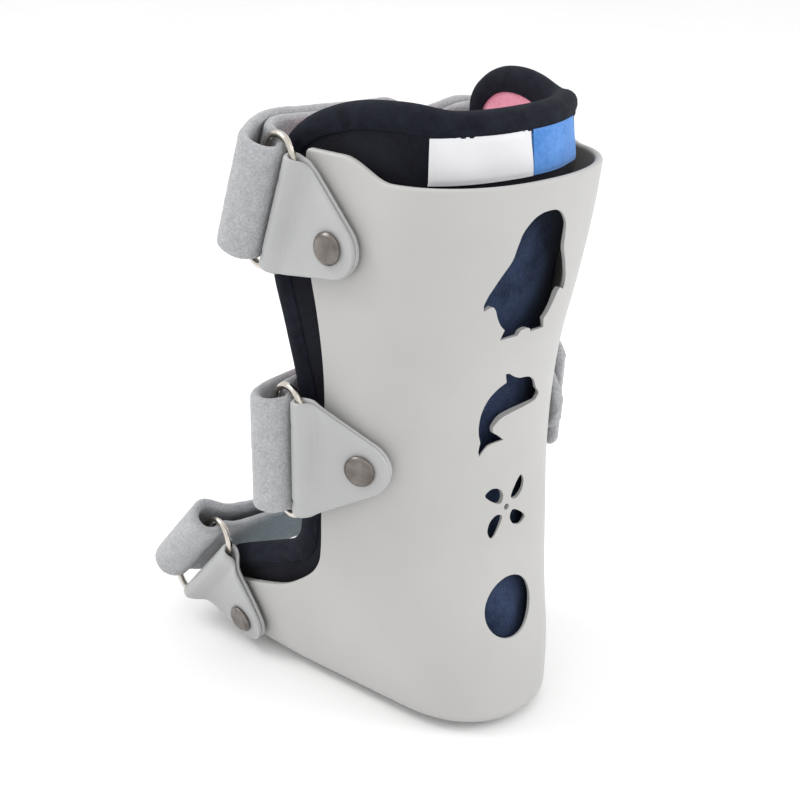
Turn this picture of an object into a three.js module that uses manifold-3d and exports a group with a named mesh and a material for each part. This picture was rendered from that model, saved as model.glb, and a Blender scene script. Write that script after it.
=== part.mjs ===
// A child's walking boot: a moulded shell with a padded liner, held by three straps.
// Millimetres. +X points to the toes, +Y to the near side with the rings, +Z up.
// The origin is on the floor, under the ankle, in the middle of the sole.
import * as THREE from 'three';
import { mergeVertices } from 'three/addons/utils/BufferGeometryUtils.js';
import Module from 'manifold-3d';

const wasm = await Module();
wasm.setup();

const clearance = 0.3;          // gap between pieces that touch

// Driving sizes of the shell
const shellHeight = 188;        // from its underside to the rim at the back
const shellWall = 2.6;
const heelReach = 27;           // from the origin back to the heel
const footReach = 92;           // from the origin forward to the end of the side walls
const calfHalfWidth = 39.4;
const toeBulge = 9;             // how far the floor rounds out past the side walls
const toeIn = 6.5;              // how far the side walls lean in at the toes
const rimRise = 5.7;            // the rim's wings stand this much above its back
const edgeRadius = 5;           // rounding between the floor and the walls

// Driving sizes of the sole
const soleThickness = 2;
const soleInset = 1.5;          // from the flat of the shell's underside
const shellBase = soleThickness + clearance;

// Driving sizes of the padding
const linerWall = 3.8;
const liningWall = 1.2;
const linerGap = 2;           // between the shell and the liner along the walls
const calfGap = 6;              // extra gap behind the calf, at the rim
const linerHeight = 207;        // from the shell's underside to the liner's top at the back
const bindingWidth = 5.6;
const bindingWall = 0.8;
const bindingGap = 1.15;
const patchWall = 0.7;
const patchTuck = 1;            // how far their lower edges go behind the rim
const patchRise = 12.5;         // top of the label and side panel over the shell's top
const topLean = 1.6;            // the liner's top leans in this much

// Driving sizes of the closures
const strapWidth = 40;
const strapWall = 3.5;
const strapGap = 0.5;           // between the two layers of a closed strap
const ringRoom = 1.25;          // at each end of a ring's bars, beside the strap
const ringLength = strapWidth + 2 * ringRoom;
const ringSpan = 14;            // between the middles of its two long bars
const ringWire = 2.4;
const ringCorner = 3.4;
const ringPlay = 0.55;          // round the bar, in the fold of a tab
const tabWall = 1.6;
const tabReach = 20.5;          // from the rivet to the ring's bar
const tabLength = strapWidth;   // along the ring's bar
const tabEnd = 10;              // radius of the round end of a tab or a strap
const tabStandoff = 1.4;        // clearance over the curved wall
const shortestEdge = 0.05;      // shorter edges are closed in a tab
const longestEdge = 8;          // of a tab's faces, before it is laid on the wall
const holeTurn = 0.15;          // keeps a hole's corners off the tab's own edges
const rivetHead = 5.2;
const rivetShank = 1.8;
const rivetRise = 1.6;
const rivetTail = 0.6;

// Driving sizes of the cut-outs, and their heights above the shell's underside
const penguinHeight = 41;
const penguinFeet = 137.4;
const farShare = 0.9;           // width of the penguin's far half beside its near half
const dolphinSize = 27;
const dolphinMiddle = 111.1;
const pinwheelRadius = 11;
const pinwheelMiddle = 76.1;
const heelHoleRadius = 10.8;
const heelHoleMiddle = 40;

// Sections of the shell. Columns: height, back, half width, depth of the rounded back, flare.
// Height is a share of shellHeight, back of heelReach, half width and depth of calfHalfWidth.
const sections = [
  [0.000, 1.09, 0.62, 0.74, 0.150],
  [0.094, 1.00, 0.71, 0.70, 0.157],
  [0.200, 0.82, 0.82, 0.75, 0.170],
  [0.318, 0.71, 0.90, 0.82, 0.183],
  [0.498, 0.67, 0.95, 0.95, 0.176],
  [0.658, 0.74, 0.98, 0.92, 0.166],
  [0.796, 0.92, 1.00, 0.80, 0.150],
  [0.919, 1.09, 1.00, 0.76, 0.130],
  [1.000, 1.17, 1.00, 0.76, 0.125],
];

// Front edge of the shell's side walls. Columns: share of shellHeight, share of footReach.
const shellFront = [
  [0.000, 1.000], [0.062, 1.000], [0.094, 0.955], [0.126, 0.850], [0.158, 0.660],
  [0.184, 0.515], [0.216, 0.410], [0.245, 0.340], [0.275, 0.298], [0.307, 0.280],
  [0.387, 0.264], [0.498, 0.243], [0.622, 0.229], [0.695, 0.234], [0.770, 0.252],
  [0.828, 0.275], [0.919, 0.287], [1.000, 0.294],
];

// Front edge of the liner, in the same columns.
const linerFront = [
  [0.000, 1.020], [0.080, 1.015], [0.130, 0.975], [0.165, 0.905], [0.200, 0.770],
  [0.243, 0.585], [0.264, 0.490], [0.291, 0.435], [0.307, 0.413], [0.339, 0.402],
  [0.413, 0.380], [0.509, 0.375], [0.610, 0.391], [0.685, 0.424], [0.732, 0.446],
  [0.807, 0.487], [0.919, 0.483], [1.000, 0.452],
];

// Top edge of the liner on the far and on the near side. Columns: reach as a share of
// footReach, and height as a share of linerHeight.
const linerTops = [
  [[-0.25, 0.992], [-0.145, 0.993], [-0.03, 0.986], [0.12, 1.003], [0.277, 1.002], [0.37, 0.99],
    [0.45, 0.955], [0.50, 0.90]],
  [[-0.25, 0.992], [-0.145, 1.013], [-0.09, 1.014], [0, 1.009], [0.12, 1.000], [0.277, 0.977],
    [0.37, 0.955], [0.43, 0.926], [0.49, 0.873]],
];

// Heights of the rows of points, as shares of shellHeight and of linerHeight.
const shellRows = [
  0.060, 0.094, 0.126, 0.158, 0.184, 0.216, 0.255, 0.307, 0.400, 0.520, 0.640, 0.760,
  0.880, 1.000,
];
const linerRows = [
  0.060, 0.110, 0.145, 0.180, 0.215, 0.250, 0.290, 0.360, 0.460, 0.560, 0.660, 0.760,
  0.850, 0.930, 1.000,
];
const seamRow = 9;              // the lining changes colour above this row of linerRows
const backRoundness = 2.31;     // 2 would be an ellipse
const wallSpread = 2.2;         // crowds the columns of points together at the rounded back
const shellColumns = 24;
const linerColumns = 18;

// Places of the closures. Reach and height place the rivet on the shell's outer face, tilt
// leans the strap back and lean turns the ring in, both in degrees. freeEnd is where the strap's
// end lies on the far side, as a share of tabReach ahead of the anchor.
// front is the strap's way across the front. Columns: a share of the ring bar's distance from
// the middle, and the distance ahead of that bar as a share of ringSpan.
// loop is its way round the bar. Columns: angle, and slack as a share of strapWall.
const closures = {
  top: {
    reach: 12.9, height: 166.4, tilt: 20.7, lean: 3, freeEnd: 0.45, opening: 0,
    front: [[-0.97, 0.42], [-0.88, 0.7], [-0.55, 0.52], [0, 0.32], [0.55, 0.46], [0.86, 0.52]],
    loop: [[-40, 0.5], [-80, 0.06], [-146, 0.25], [168, 1.3], [132, 1.75], [90, 1.6], [45, 1.0]],
  },
  middle: {
    reach: 5.7, height: 95.2, tilt: 0, lean: 5, freeEnd: -0.3, opening: 0,
    front: [[-0.96, 0.15], [-0.83, 0.26], [-0.5, 0.42], [0, 0.50], [0.5, 0.44], [0.82, 0.27]],
    loop: [[-71, 0.15], [-140, 0.3], [170, 1.3], [130, 2.0], [100, 1.75], [64, 0.95], [4, 0.7]],
  },
  bottom: {
    reach: 70.5, height: 11.6, tilt: 42.6, lean: 3, freeEnd: 0.45, opening: 1,
    front: [[-0.96, -0.3], [-0.8, -0.36], [-0.4, -0.5], [0, -0.5], [0.45, -0.46], [0.86, -0.38]],
    loop: [[-150, 0.3], [170, 0.45], [130, 0.8], [95, 1.1], [60, 1.2], [8, 1.0]],
  },
};

const colours = {
  plastic: 0xc9c7c3, rubber: 0x565a5e, navy: 0x1b2338, tape: 0x141a2b, pink: 0xe79ab2,
  pale: 0xc2e2ee, white: 0xf2f2f4, blue: 0x2f6cb8, brushed: 0xb9bec6, nickel: 0xcfc8bb,
  gunmetal: 0x85807c,
};
const metals = ['nickel', 'gunmetal'];
const boot = new THREE.Group();

// Adds a piece, placed by a matrix where it is modelled in a frame of its own.
function addPiece(name, geometry, look, matrix) {
  const metal = metals.includes(look);
  const material = new THREE.MeshStandardMaterial({
    color: colours[look],
    metalness: metal ? 1 : 0,
    roughness: metal ? 0.25 : look === 'plastic' ? 0.5 : 0.9,
  });
  const faceted = geometry.toNonIndexed();
  faceted.computeVertexNormals();
  const mesh = new THREE.Mesh(faceted, material);
  mesh.name = name;
  if (matrix) mesh.applyMatrix4(matrix);
  boot.add(mesh);
}

// Geometry from a list of points and a list of index triples.
function geometryOf(points, faces) {
  const geometry = new THREE.BufferGeometry();
  geometry.setAttribute('position', new THREE.Float32BufferAttribute(
    points.flatMap((point) => point.toArray()), 3));
  geometry.setIndex(faces);
  return geometry;
}

// A three.js geometry with its shared vertices merged.
function welded(geometry) {
  const bare = geometry.clone();
  bare.deleteAttribute('normal');
  bare.deleteAttribute('uv');
  return mergeVertices(bare, 1e-4);
}

function solidOf(geometry) {
  return new wasm.Manifold(new wasm.Mesh({
    numProp: 3,
    vertProperties: new Float32Array(geometry.getAttribute('position').array),
    triVerts: new Uint32Array(geometry.index.array),
  }));
}

function geometryFrom(solid) {
  const { vertProperties, triVerts } = solid.getMesh();
  const geometry = new THREE.BufferGeometry();
  geometry.setAttribute('position', new THREE.BufferAttribute(vertProperties, 3));
  geometry.setIndex(new THREE.BufferAttribute(triVerts, 1));
  return geometry;
}

function extruded(shape, depth, curveSegments = 6) {
  return welded(new THREE.ExtrudeGeometry(shape, {
    depth, curveSegments, bevelEnabled: false,
  }));
}

// Reads a table of rows as smooth functions of its first column.
function smoothTable(rows) {
  const places = rows.map((row) => row[0]);
  const values = rows.flatMap((row) => row.slice(1));
  const count = rows[0].length - 1;
  const curve = new THREE.CubicInterpolant(places, values, count, new Float64Array(count));
  return (place) => [
    ...curve.evaluate(THREE.MathUtils.clamp(place, places[0], places.at(-1))),
  ];
}

const sectionTable = smoothTable(sections);
const shellFrontTable = smoothTable(shellFront);
const linerFrontTable = smoothTable(linerFront);
const linerTopTables = linerTops.map(smoothTable);
const shareOfShell = (height) => (height - shellBase) / shellHeight;
const shellReach = (height) => footReach * shellFrontTable(shareOfShell(height))[0];
const linerReach = (height) => footReach * linerFrontTable(shareOfShell(height))[0];

function sectionAt(height) {
  const [back, half, depth, flare] = sectionTable(shareOfShell(height));
  return {
    back: -back * heelReach,
    half: half * calfHalfWidth,
    depth: depth * calfHalfWidth,
    flare,
  };
}

// Half width of the shell's outer face at a point of its plan.
function halfWidth(reach, height) {
  const { back, half, depth, flare } = sectionAt(height);
  const share = THREE.MathUtils.clamp((reach - back) / depth, 0, 1);
  const rounded = half * (1 - (1 - share) ** backRoundness) ** (1 / backRoundness);
  const ball = 0.45 * footReach;
  const narrowing = toeIn * (Math.max(reach - ball, 0) / (footReach - ball)) ** 2;
  return rounded + flare * (reach - back) - narrowing;
}

// A point inside the shell's outer face, by an inset along its plan. u runs from -1, the far
// front edge, over 0, the middle of the back, to 1, the near front edge.
function wallPoint(u, height, frontReach, inset) {
  const { back } = sectionAt(height);
  const side = Math.sign(u);
  if (side === 0) return new THREE.Vector3(back + inset, 0, height);
  const place = (share) => {
    const reach = back + (frontReach - back) * share ** wallSpread;
    return new THREE.Vector2(reach, side * halfWidth(reach, height));
  };
  const step = 0.005;
  const share = Math.abs(u);
  const along = place(share + step).sub(place(share - step)).normalize();
  const point = place(share);
  point.x += inset * along.y * side;
  point.y -= inset * along.x * side;
  return new THREE.Vector3(Math.min(point.x, frontReach), point.y, height);
}

const columnPlaces = (count) => Array.from({ length: count + 1 }, (_, j) => 2 * j / count - 1);

// Rows that round a floor into its walls.
function roundedRows(base, radius, inset) {
  return [0, Math.PI / 4, Math.PI / 2].map((angle) => ({
    height: base + radius * (1 - Math.cos(angle)),
    inset: inset + radius * (1 - Math.sin(angle)),
  }));
}

// The toe end of a floor: an arc from its near corner to its far one, without them.
function toeArc(corner) {
  return [0.8, 0.55, 0.28, 0, -0.28, -0.55, -0.8].map((share) => new THREE.Vector3(
    corner.x + toeBulge * (1 - share ** 2), corner.y * share, corner.z));
}

// Faces of a floor whose outline is the same on both sides. The ring of indices runs from the
// far corner round the heel to the near corner, and on round the toes.
function floorFaces(ring, cornerCount, up) {
  const heel = (cornerCount - 1) / 2;
  const count = ring.length;
  const near = (k) => ring[(heel + k) % count];
  const far = (k) => ring[(heel - k + count) % count];
  const faces = [];
  for (let k = 0; k < count / 2; k++) {
    const corners = [near(k), near(k + 1), far(k + 1), far(k)];
    if (up) corners.reverse();
    const [a, b, c, d] = corners;
    if (a !== b && b !== c && a !== c) faces.push(a, b, c);
    if (a !== c && c !== d && a !== d) faces.push(a, c, d);
  }
  return faces;
}

// Joins two grids of points, an outer and an inner one, into a closed wall, with a floor
// across their first rows where one is wanted.
function closedWall(outer, inner, withFloor) {
  const rows = outer.length;
  const columns = outer[0].length;
  const last = columns - 1;
  const points = [...outer.flat(), ...inner.flat()];
  const faces = [];
  const at = (grid, row, column) => (grid * rows + row) * columns + column;
  const quad = (a, b, c, d) => faces.push(a, b, c, a, c, d);
  for (let i = 0; i < rows - 1; i++) {
    for (let j = 0; j < last; j++) {
      quad(at(0, i, j), at(0, i + 1, j), at(0, i + 1, j + 1), at(0, i, j + 1));
      quad(at(1, i, j), at(1, i, j + 1), at(1, i + 1, j + 1), at(1, i + 1, j));
    }
    quad(at(0, i, 0), at(1, i, 0), at(1, i + 1, 0), at(0, i + 1, 0));
    quad(at(0, i, last), at(0, i + 1, last), at(1, i + 1, last), at(1, i, last));
  }
  for (let j = 0; j < last; j++) {
    quad(at(0, rows - 1, j), at(1, rows - 1, j), at(1, rows - 1, j + 1), at(0, rows - 1, j + 1));
    if (!withFloor) quad(at(0, 0, j), at(0, 0, j + 1), at(1, 0, j + 1), at(1, 0, j));
  }
  if (withFloor) {
    const [low, high] = [outer, inner].map((grid, index) => {
      const toe = toeArc(grid[0][last]);
      const start = points.push(...toe) - toe.length;
      const wallRing = grid[0].map((_, j) => at(index, 0, j));
      const toeRing = toe.map((_, k) => start + k);
      faces.push(...floorFaces([...wallRing, ...toeRing], columns, index === 1));
      return [at(index, 0, last), ...toeRing, at(index, 0, 0)];
    });
    for (let k = 0; k < low.length - 1; k++) quad(low[k], high[k], high[k + 1], low[k + 1]);
  }
  return geometryOf(points, faces);
}

// Shell
function shellGrid(inset) {
  const rim = shellBase + shellHeight;
  const base = shellBase + inset;
  const walls = shellRows.map((share) => ({ height: shellBase + share * shellHeight, inset }));
  return [...roundedRows(base, edgeRadius - inset, inset), ...walls].map((row) => (
    columnPlaces(shellColumns).map((u) => {
      const point = wallPoint(u, row.height, shellReach(row.height), row.inset);
      const wing = THREE.MathUtils.smoothstep(point.x, -0.22 * heelReach, 0.44 * heelReach);
      point.z += rimRise * wing * THREE.MathUtils.smoothstep(row.height, 0.8 * rim, rim);
      return point;
    })));
}

// Cut-outs, drawn in (y, z) as shares of their size. A nested list is a smooth stretch.
const penguinHalf = [
  [0, 1],
  [[0.10, 0.995], [0.18, 0.97], [0.26, 0.88], [0.27, 0.765], [0.29, 0.656], [0.36, 0.54],
    [0.43, 0.41]],
  [[0.455, 0.33], [0.446, 0.278]],
  [[0.383, 0.305], [0.346, 0.27]],
  [[0.312, 0.195], [0.27, 0.13], [0.224, 0.085]],
  [0.249, 0.005],
  [0.076, 0.007],
  [[0.05, 0.04], [0, 0.05]],
];
const dolphin = [
  [0.185, 0.50],
  [[0.12, 0.49], [0.03, 0.43], [-0.063, 0.39]],
  [[-0.23, 0.36], [-0.344, 0.285], [-0.42, 0.155]],
  [[-0.5, 0.06], [-0.433, -0.01]],
  [[-0.21, -0.026], [0.02, -0.044], [0.178, -0.078], [0.29, -0.163]],
  [[0.28, -0.233], [0.196, -0.296], [0.107, -0.374]],
  [[0.31, -0.385], [0.393, -0.43], [0.456, -0.507]],
  [[0.474, -0.437], [0.456, -0.326]],
  [[0.485, -0.215], [0.493, -0.09], [0.47, 0.07], [0.396, 0.222], [0.281, 0.326],
    [0.152, 0.385]],
];
const pinwheelBlade = [
  [0.86, 0.60], [0.62, 0.76], [0.30, 0.66], [0.15, 0.40], [0.27, 0.18], [0.60, 0.34],
];

// Points along an outline that mixes straight and smooth stretches.
function tracedOutline(stretches, size) {
  const path = new THREE.Path();
  path.moveTo(size * stretches[0][0], size * stretches[0][1]);
  for (const stretch of stretches.slice(1)) {
    if (typeof stretch[0] === 'number') path.lineTo(size * stretch[0], size * stretch[1]);
    else path.splineThru(stretch.map(([y, z]) => new THREE.Vector2(size * y, size * z)));
  }
  return path.getPoints(2);
}

function penguinPoints() {
  const near = tracedOutline(penguinHalf, penguinHeight);
  const far = near.slice(1, -1).map((point) => new THREE.Vector2(-farShare * point.x, point.y));
  return [...near, ...far.reverse()];
}

function turned(point, angle) {
  return point.rotateAround(new THREE.Vector2(), angle);
}

function bladePoints(turn) {
  const corners = pinwheelBlade.map(([y, z]) => (
    new THREE.Vector3(y, z, 0).multiplyScalar(pinwheelRadius)));
  const loop = new THREE.CatmullRomCurve3(corners, true).getPoints(8).slice(0, -1);
  return loop.map((point) => turned(new THREE.Vector2(point.x, point.y), turn));
}

function circlePoints(radius, count) {
  return Array.from({ length: count }, (_, k) => (
    turned(new THREE.Vector2(radius, 0), 2 * Math.PI * k / count)));
}

// A cutter forward through the back of the shell, its outline's origin at a height.
function backCutter(outline, height) {
  const reach = 2 * heelReach;
  const cutter = extruded(new THREE.Shape(outline), reach);
  cutter.applyMatrix4(new THREE.Matrix4().makeBasis(
    new THREE.Vector3(0, 1, 0), new THREE.Vector3(0, 0, 1), new THREE.Vector3(1, 0, 0)));
  cutter.translate(-reach, 0, shellBase + height);
  return solidOf(cutter);
}

function backCutters() {
  return [
    backCutter(penguinPoints(), penguinFeet),
    backCutter(tracedOutline(dolphin, dolphinSize), dolphinMiddle),
    backCutter(circlePoints(heelHoleRadius, 24), heelHoleMiddle),
    backCutter(circlePoints(0.1 * pinwheelRadius, 8), pinwheelMiddle),
    ...[0, 1, 2, 3].map((k) => backCutter(bladePoints(k * Math.PI / 2), pinwheelMiddle)),
  ];
}

function rightFrame(x, y, position) {
  return new THREE.Matrix4().makeBasis(x, y, new THREE.Vector3().crossVectors(x, y))
    .setPosition(position);
}

// Frames of a closure, on the near side (1) or the far side (-1). frame has x forward along the
// wall, y out of it and z along the ring's bar. seat has y along the wall's own normal.
function closureFrames({ reach, height, tilt }, side) {
  const level = shellBase + height;
  const onWall = (x, z) => new THREE.Vector3(x, side * halfWidth(x, z), z);
  const step = 0.5;
  const alongReach = onWall(reach + step, level).sub(onWall(reach - step, level));
  const alongHeight = onWall(reach, level + step).sub(onWall(reach, level - step));
  const normal = new THREE.Vector3().crossVectors(alongHeight, alongReach)
    .multiplyScalar(side).normalize();
  const lean = THREE.MathUtils.degToRad(tilt);
  const bar = new THREE.Vector3(-Math.sin(lean), 0, Math.cos(lean));
  const outward = normal.clone().addScaledVector(bar, -normal.dot(bar)).normalize();
  const forward = new THREE.Vector3().crossVectors(outward, bar).multiplyScalar(side);
  const flush = forward.clone().addScaledVector(normal, -forward.dot(normal)).normalize();
  const point = onWall(reach, level);
  return {
    frame: rightFrame(forward, outward, point),
    seat: rightFrame(flush, normal, point),
    forward,
    side,
  };
}

// How far the wall stands out of a frame's plane at a point of that plane.
function wallRise({ frame, side }, x, z) {
  const point = new THREE.Vector3(x, 0, z).applyMatrix4(frame);
  const outward = new THREE.Vector3().setFromMatrixColumn(frame, 1);
  return (halfWidth(point.x, point.z) - side * point.y) * Math.abs(outward.y);
}

// A cylinder along y, between two heights.
function plug(radius, from, to) {
  const corner = radius / Math.cos(Math.PI / 10);
  const cylinder = welded(new THREE.CylinderGeometry(corner, corner, to - from, 10));
  cylinder.translate(0, (from + to) / 2, 0);
  return cylinder;
}

// The outline of a tab, round at the rivet and as wide as the bar's fold, extruded along y.
const shoulder = 0.84 * tabReach;
function taperedBlank(reach, width, low, high) {
  const half = width / 2;
  const tangent = Math.atan2(half, shoulder) + Math.acos(tabEnd / Math.hypot(shoulder, half));
  const outline = new THREE.Shape();
  outline.moveTo(reach, -half);
  outline.lineTo(reach, half);
  outline.lineTo(shoulder, half);
  outline.absarc(0, 0, tabEnd, tangent, 2 * Math.PI - tangent, false);
  outline.lineTo(shoulder, -half);
  const blank = extruded(outline, high - low, 7);
  blank.rotateX(Math.PI / 2);
  blank.translate(0, high, 0);
  return blank;
}

const boreRadius = ringWire / 2 + ringPlay;
const foldRadius = boreRadius + tabWall;

// The tab: a strip folded round the ring's bar, with its two layers joined at the rivet.
function tabGeometry(near) {
  const turn = 0.53 * Math.PI;
  const fold = new THREE.Shape();
  fold.moveTo(-tabEnd, 0);
  fold.lineTo(tabReach, 0);
  fold.absarc(tabReach, foldRadius, foldRadius, -Math.PI / 2, turn, false);
  fold.lineTo(0.45 * tabReach, 2 * tabWall);
  fold.lineTo(-tabEnd, 2 * tabWall);
  const eye = new THREE.Path();
  eye.moveTo(0.4 * tabReach, tabWall);
  eye.lineTo(tabReach + boreRadius * Math.cos(turn), foldRadius + boreRadius * Math.sin(turn));
  eye.absarc(tabReach, foldRadius, boreRadius, turn, -Math.PI / 2, true);
  fold.holes.push(eye);
  const strip = extruded(fold, tabLength, 9);
  strip.translate(0, 0, -tabLength / 2);
  const blank = taperedBlank(tabReach + 2 * foldRadius, tabLength, -tabWall, 3 * foldRadius);
  const flat = solidOf(strip).intersect(solidOf(blank)).refineToLength(longestEdge);
  const draped = geometryFrom(flat);
  const places = draped.getAttribute('position');
  const [high, low] = [wallRise(near, 0, tabLength / 2), wallRise(near, 0, -tabLength / 2)];
  const slope = (high - low) / tabLength;
  for (let k = 0; k < places.count; k++) {
    const [x, z] = [places.getX(k), places.getZ(k)];
    const held = 1 - THREE.MathUtils.smoothstep(x, 0.6 * tabReach, tabReach);
    places.setY(k, places.getY(k) + tabStandoff + held * slope * z);
  }
  const hole = plug(rivetShank + clearance, -foldRadius, 3 * foldRadius);
  hole.rotateY(holeTurn);
  hole.applyMatrix4(near.frame.clone().invert().multiply(near.seat));
  return geometryFrom(solidOf(draped).subtract(solidOf(hole)).simplify(shortestEdge));
}

// A closed loop of round wire in the x-z plane, with one long bar on the z axis.
function ringGeometry() {
  const middle = ringSpan / 2;
  const half = (ringLength + ringWire) / 2;
  const steps = 3;
  const route = [[1, 1], [-1, 1], [-1, -1], [1, -1]].flatMap(([x, z], corner) => (
    Array.from({ length: steps + 1 }, (_, k) => {
      const angle = (corner + k / steps) * Math.PI / 2;
      return new THREE.Vector3(
        middle + x * (middle - ringCorner) + ringCorner * Math.cos(angle), 0,
        z * (half - ringCorner) + ringCorner * Math.sin(angle));
    })));
  const sides = 8;
  const points = [];
  const faces = [];
  route.forEach((place, k) => {
    const ahead = (k + 1) % route.length;
    const along = route[ahead].clone().sub(route.at(k - 1)).normalize();
    const across = new THREE.Vector3(along.z, 0, -along.x);
    for (let side = 0; side < sides; side++) {
      const angle = 2 * Math.PI * side / sides;
      const point = place.clone().addScaledVector(across, ringWire / 2 * Math.cos(angle));
      point.y = ringWire / 2 * Math.sin(angle);
      points.push(point);
      const next = (side + 1) % sides;
      const [a, b] = [k * sides + side, k * sides + next];
      const [c, d] = [ahead * sides + next, ahead * sides + side];
      faces.push(a, b, c, a, c, d);
    }
  });
  return geometryOf(points, faces);
}

// A rivet along y, with its tail under the shell's wall and its head at a height over it.
function rivetGeometry(headHeight) {
  const tail = -(shellWall + 2 * clearance);
  const profile = [
    [0, tail - rivetTail], [0.75 * rivetHead, tail - rivetTail], [0.75 * rivetHead, tail],
    [rivetShank, tail], [rivetShank, headHeight], [rivetHead, headHeight],
    [rivetHead, headHeight + 0.4 * rivetRise], [0.78 * rivetHead, headHeight + rivetRise],
    [0, headHeight + rivetRise],
  ];
  const lathe = new THREE.LatheGeometry(profile.map(([x, y]) => new THREE.Vector2(x, y)), 11);
  return geometryFrom(solidOf(welded(lathe)));
}

// The middle line of a strap in its level plane, as forward and sideways distances: along the
// far wall, across the front, round the ring's bar and back over itself.
function strapRoute(closure, far, toPlane, bar, across) {
  const wallTilt = wallRise(far, 0, -across);
  const stand = tabStandoff + strapWall / 2;
  const layer = strapWall + strapGap;
  const onWall = (along, height, share) => toPlane(
    new THREE.Vector3(along, height + share * wallTilt, 0).applyMatrix4(far.frame));
  const start = [
    onWall(-tabEnd, stand, 1), onWall(0.1 * tabReach, stand, 1), onWall(0.8 * tabReach, stand, 0.5),
  ];
  const front = closure.front.map(([side, ahead]) => new THREE.Vector2(
    bar.x + ahead * ringSpan, side * bar.y));
  const tight = ringWire / 2 + clearance + strapWall / 2;
  const loop = closure.loop.map(([angle, slack]) => turned(
    new THREE.Vector2(tight + slack * strapWall, 0), THREE.MathUtils.degToRad(angle)).add(bar));
  const inner = [...start, ...front];
  const back = front.map((point, k) => {
    const before = inner[k + start.length - 1];
    const after = inner[k + start.length + 1] ?? point.clone().multiplyScalar(2).sub(before);
    const along = after.clone().sub(before).normalize();
    const open = closure.opening * THREE.MathUtils.smoothstep(point.y, 0, bar.y) * strapWall;
    return new THREE.Vector2(along.y, -along.x).multiplyScalar(layer + open).add(point);
  });
  const end = [
    onWall(0.8 * tabReach, stand + layer, 0.5),
    onWall(closure.freeEnd * tabReach, stand + layer, 1),
  ];
  const route = [...inner, ...loop, ...back.reverse(), ...end];
  const curve = new THREE.CatmullRomCurve3(route.map(({ x, y }) => new THREE.Vector3(x, y, 0)));
  return curve.getPoints(2 * (route.length - 1));
}

// A strap as a band along its route, in a frame with x forward, y sideways and z across it.
function strapGeometry(closure, far, band, bar) {
  const place = new THREE.Vector3().setFromMatrixPosition(band);
  const ahead = new THREE.Vector3().setFromMatrixColumn(band, 0);
  const toPlane = (point) => new THREE.Vector2(point.clone().sub(place).dot(ahead), point.y);
  const stations = [-strapWidth / 2, strapWidth / 2];
  const points = stations.flatMap((across) => {
    const route = strapRoute(closure, far, toPlane, bar, across);
    const [left, right] = [1, -1].map((sign) => route.map((middle, k) => {
      const before = route[Math.max(k - 1, 0)];
      const after = route[Math.min(k + 1, route.length - 1)];
      const along = after.clone().sub(before).setLength(sign * strapWall / 2);
      return new THREE.Vector3(middle.x + along.y, middle.y - along.x, across);
    }));
    return [...left, ...right.reverse()];
  });
  const count = points.length / stations.length;
  const faces = [];
  for (let k = 0; k < count; k++) {
    const next = (k + 1) % count;
    for (let row = 0; row < stations.length - 1; row++) {
      const [a, b] = [row * count + k, row * count + next];
      faces.push(a, b, b + count, a, b + count, a + count);
    }
  }
  const top = (stations.length - 1) * count;
  for (let k = 0; k < count / 2 - 1; k++) {
    const [a, b, c, d] = [k, k + 1, count - 2 - k, count - 1 - k];
    faces.push(a, c, b, a, d, c, top + a, top + b, top + c, top + a, top + c, top + d);
  }
  return geometryOf(points, faces);
}

const pocketFloor = strapWall - rivetRise - 2 * clearance;

// Rounds the anchored end of a strap, bores it and sinks a pocket for the anchor's head.
function anchoredStrap(geometry, far, band) {
  const top = tabStandoff + strapWall + strapGap / 2;
  const reach = -2 * tabEnd;
  const square = new THREE.Shape([[reach, -1], [shoulder, -1], [shoulder, 1], [reach, 1]]
    .map(([x, share]) => new THREE.Vector2(x, share * strapWidth)));
  const block = extruded(square, 2 * tabEnd);
  block.rotateX(Math.PI / 2);
  block.translate(0, top, 0);
  const kept = taperedBlank(2 * tabReach, strapWidth + clearance, -3 * tabEnd, 2 * top);
  const corners = geometryFrom(solidOf(block).subtract(solidOf(kept)));
  const cutters = [
    corners,
    plug(rivetHead + 2 * clearance, tabStandoff + pocketFloor, top),
    plug(rivetShank + clearance, -tabStandoff, top),
  ];
  const toBand = band.clone().invert().multiply(far.seat);
  let solid = solidOf(geometry);
  for (const cutter of cutters) {
    cutter.applyMatrix4(toBand);
    solid = solid.subtract(solidOf(cutter));
  }
  return geometryFrom(solid);
}

// Padding
function linerInset(u, height, inset) {
  const rise = THREE.MathUtils.smoothstep(height, 0.5 * shellHeight, shellHeight);
  const lean = topLean * THREE.MathUtils.smoothstep(height, shellHeight, linerHeight);
  const behind = 1 - THREE.MathUtils.smoothstep(Math.abs(u), 0.25, 0.8);
  return inset + lean + calfGap * rise * behind;
}

// A point on a face of the liner. row is a share of the liner's height at that place.
function linerPoint(u, row, inset) {
  const full = shellBase + linerHeight;
  const level = shellBase + row * linerHeight;
  const { back } = sectionAt(level);
  const reach = back + (linerReach(level) - back) * Math.abs(u) ** wallSpread;
  const [far, near] = linerTopTables.map((table) => table(reach / footReach)[0]);
  const side = THREE.MathUtils.smoothstep(u, -0.3, 0.3);
  const top = shellBase + linerHeight * THREE.MathUtils.lerp(far, near, side);
  const height = level + (top - full) * THREE.MathUtils.smoothstep(row, 0.45, 1);
  return wallPoint(u, height, linerReach(height), linerInset(u, height, inset));
}

// The rows of a padded layer, at a depth inside the liner's outer face.
function layerGrid(depth, from = 0, to = linerRows.length - 1) {
  const inset = shellWall + linerGap + depth;
  const base = shellBase + shellWall + clearance + depth;
  const places = columnPlaces(linerColumns);
  const walls = linerRows.slice(from, to + 1).map((row) => (
    places.map((u) => linerPoint(u, row, inset))));
  if (from > 0) return walls;
  const radius = Math.max(edgeRadius - shellWall - depth / 2, 1);
  const foot = roundedRows(base, radius, inset).map((row) => places.map((u) => (
    wallPoint(u, row.height, linerReach(row.height), row.inset))));
  return [...foot, ...walls];
}

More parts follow.
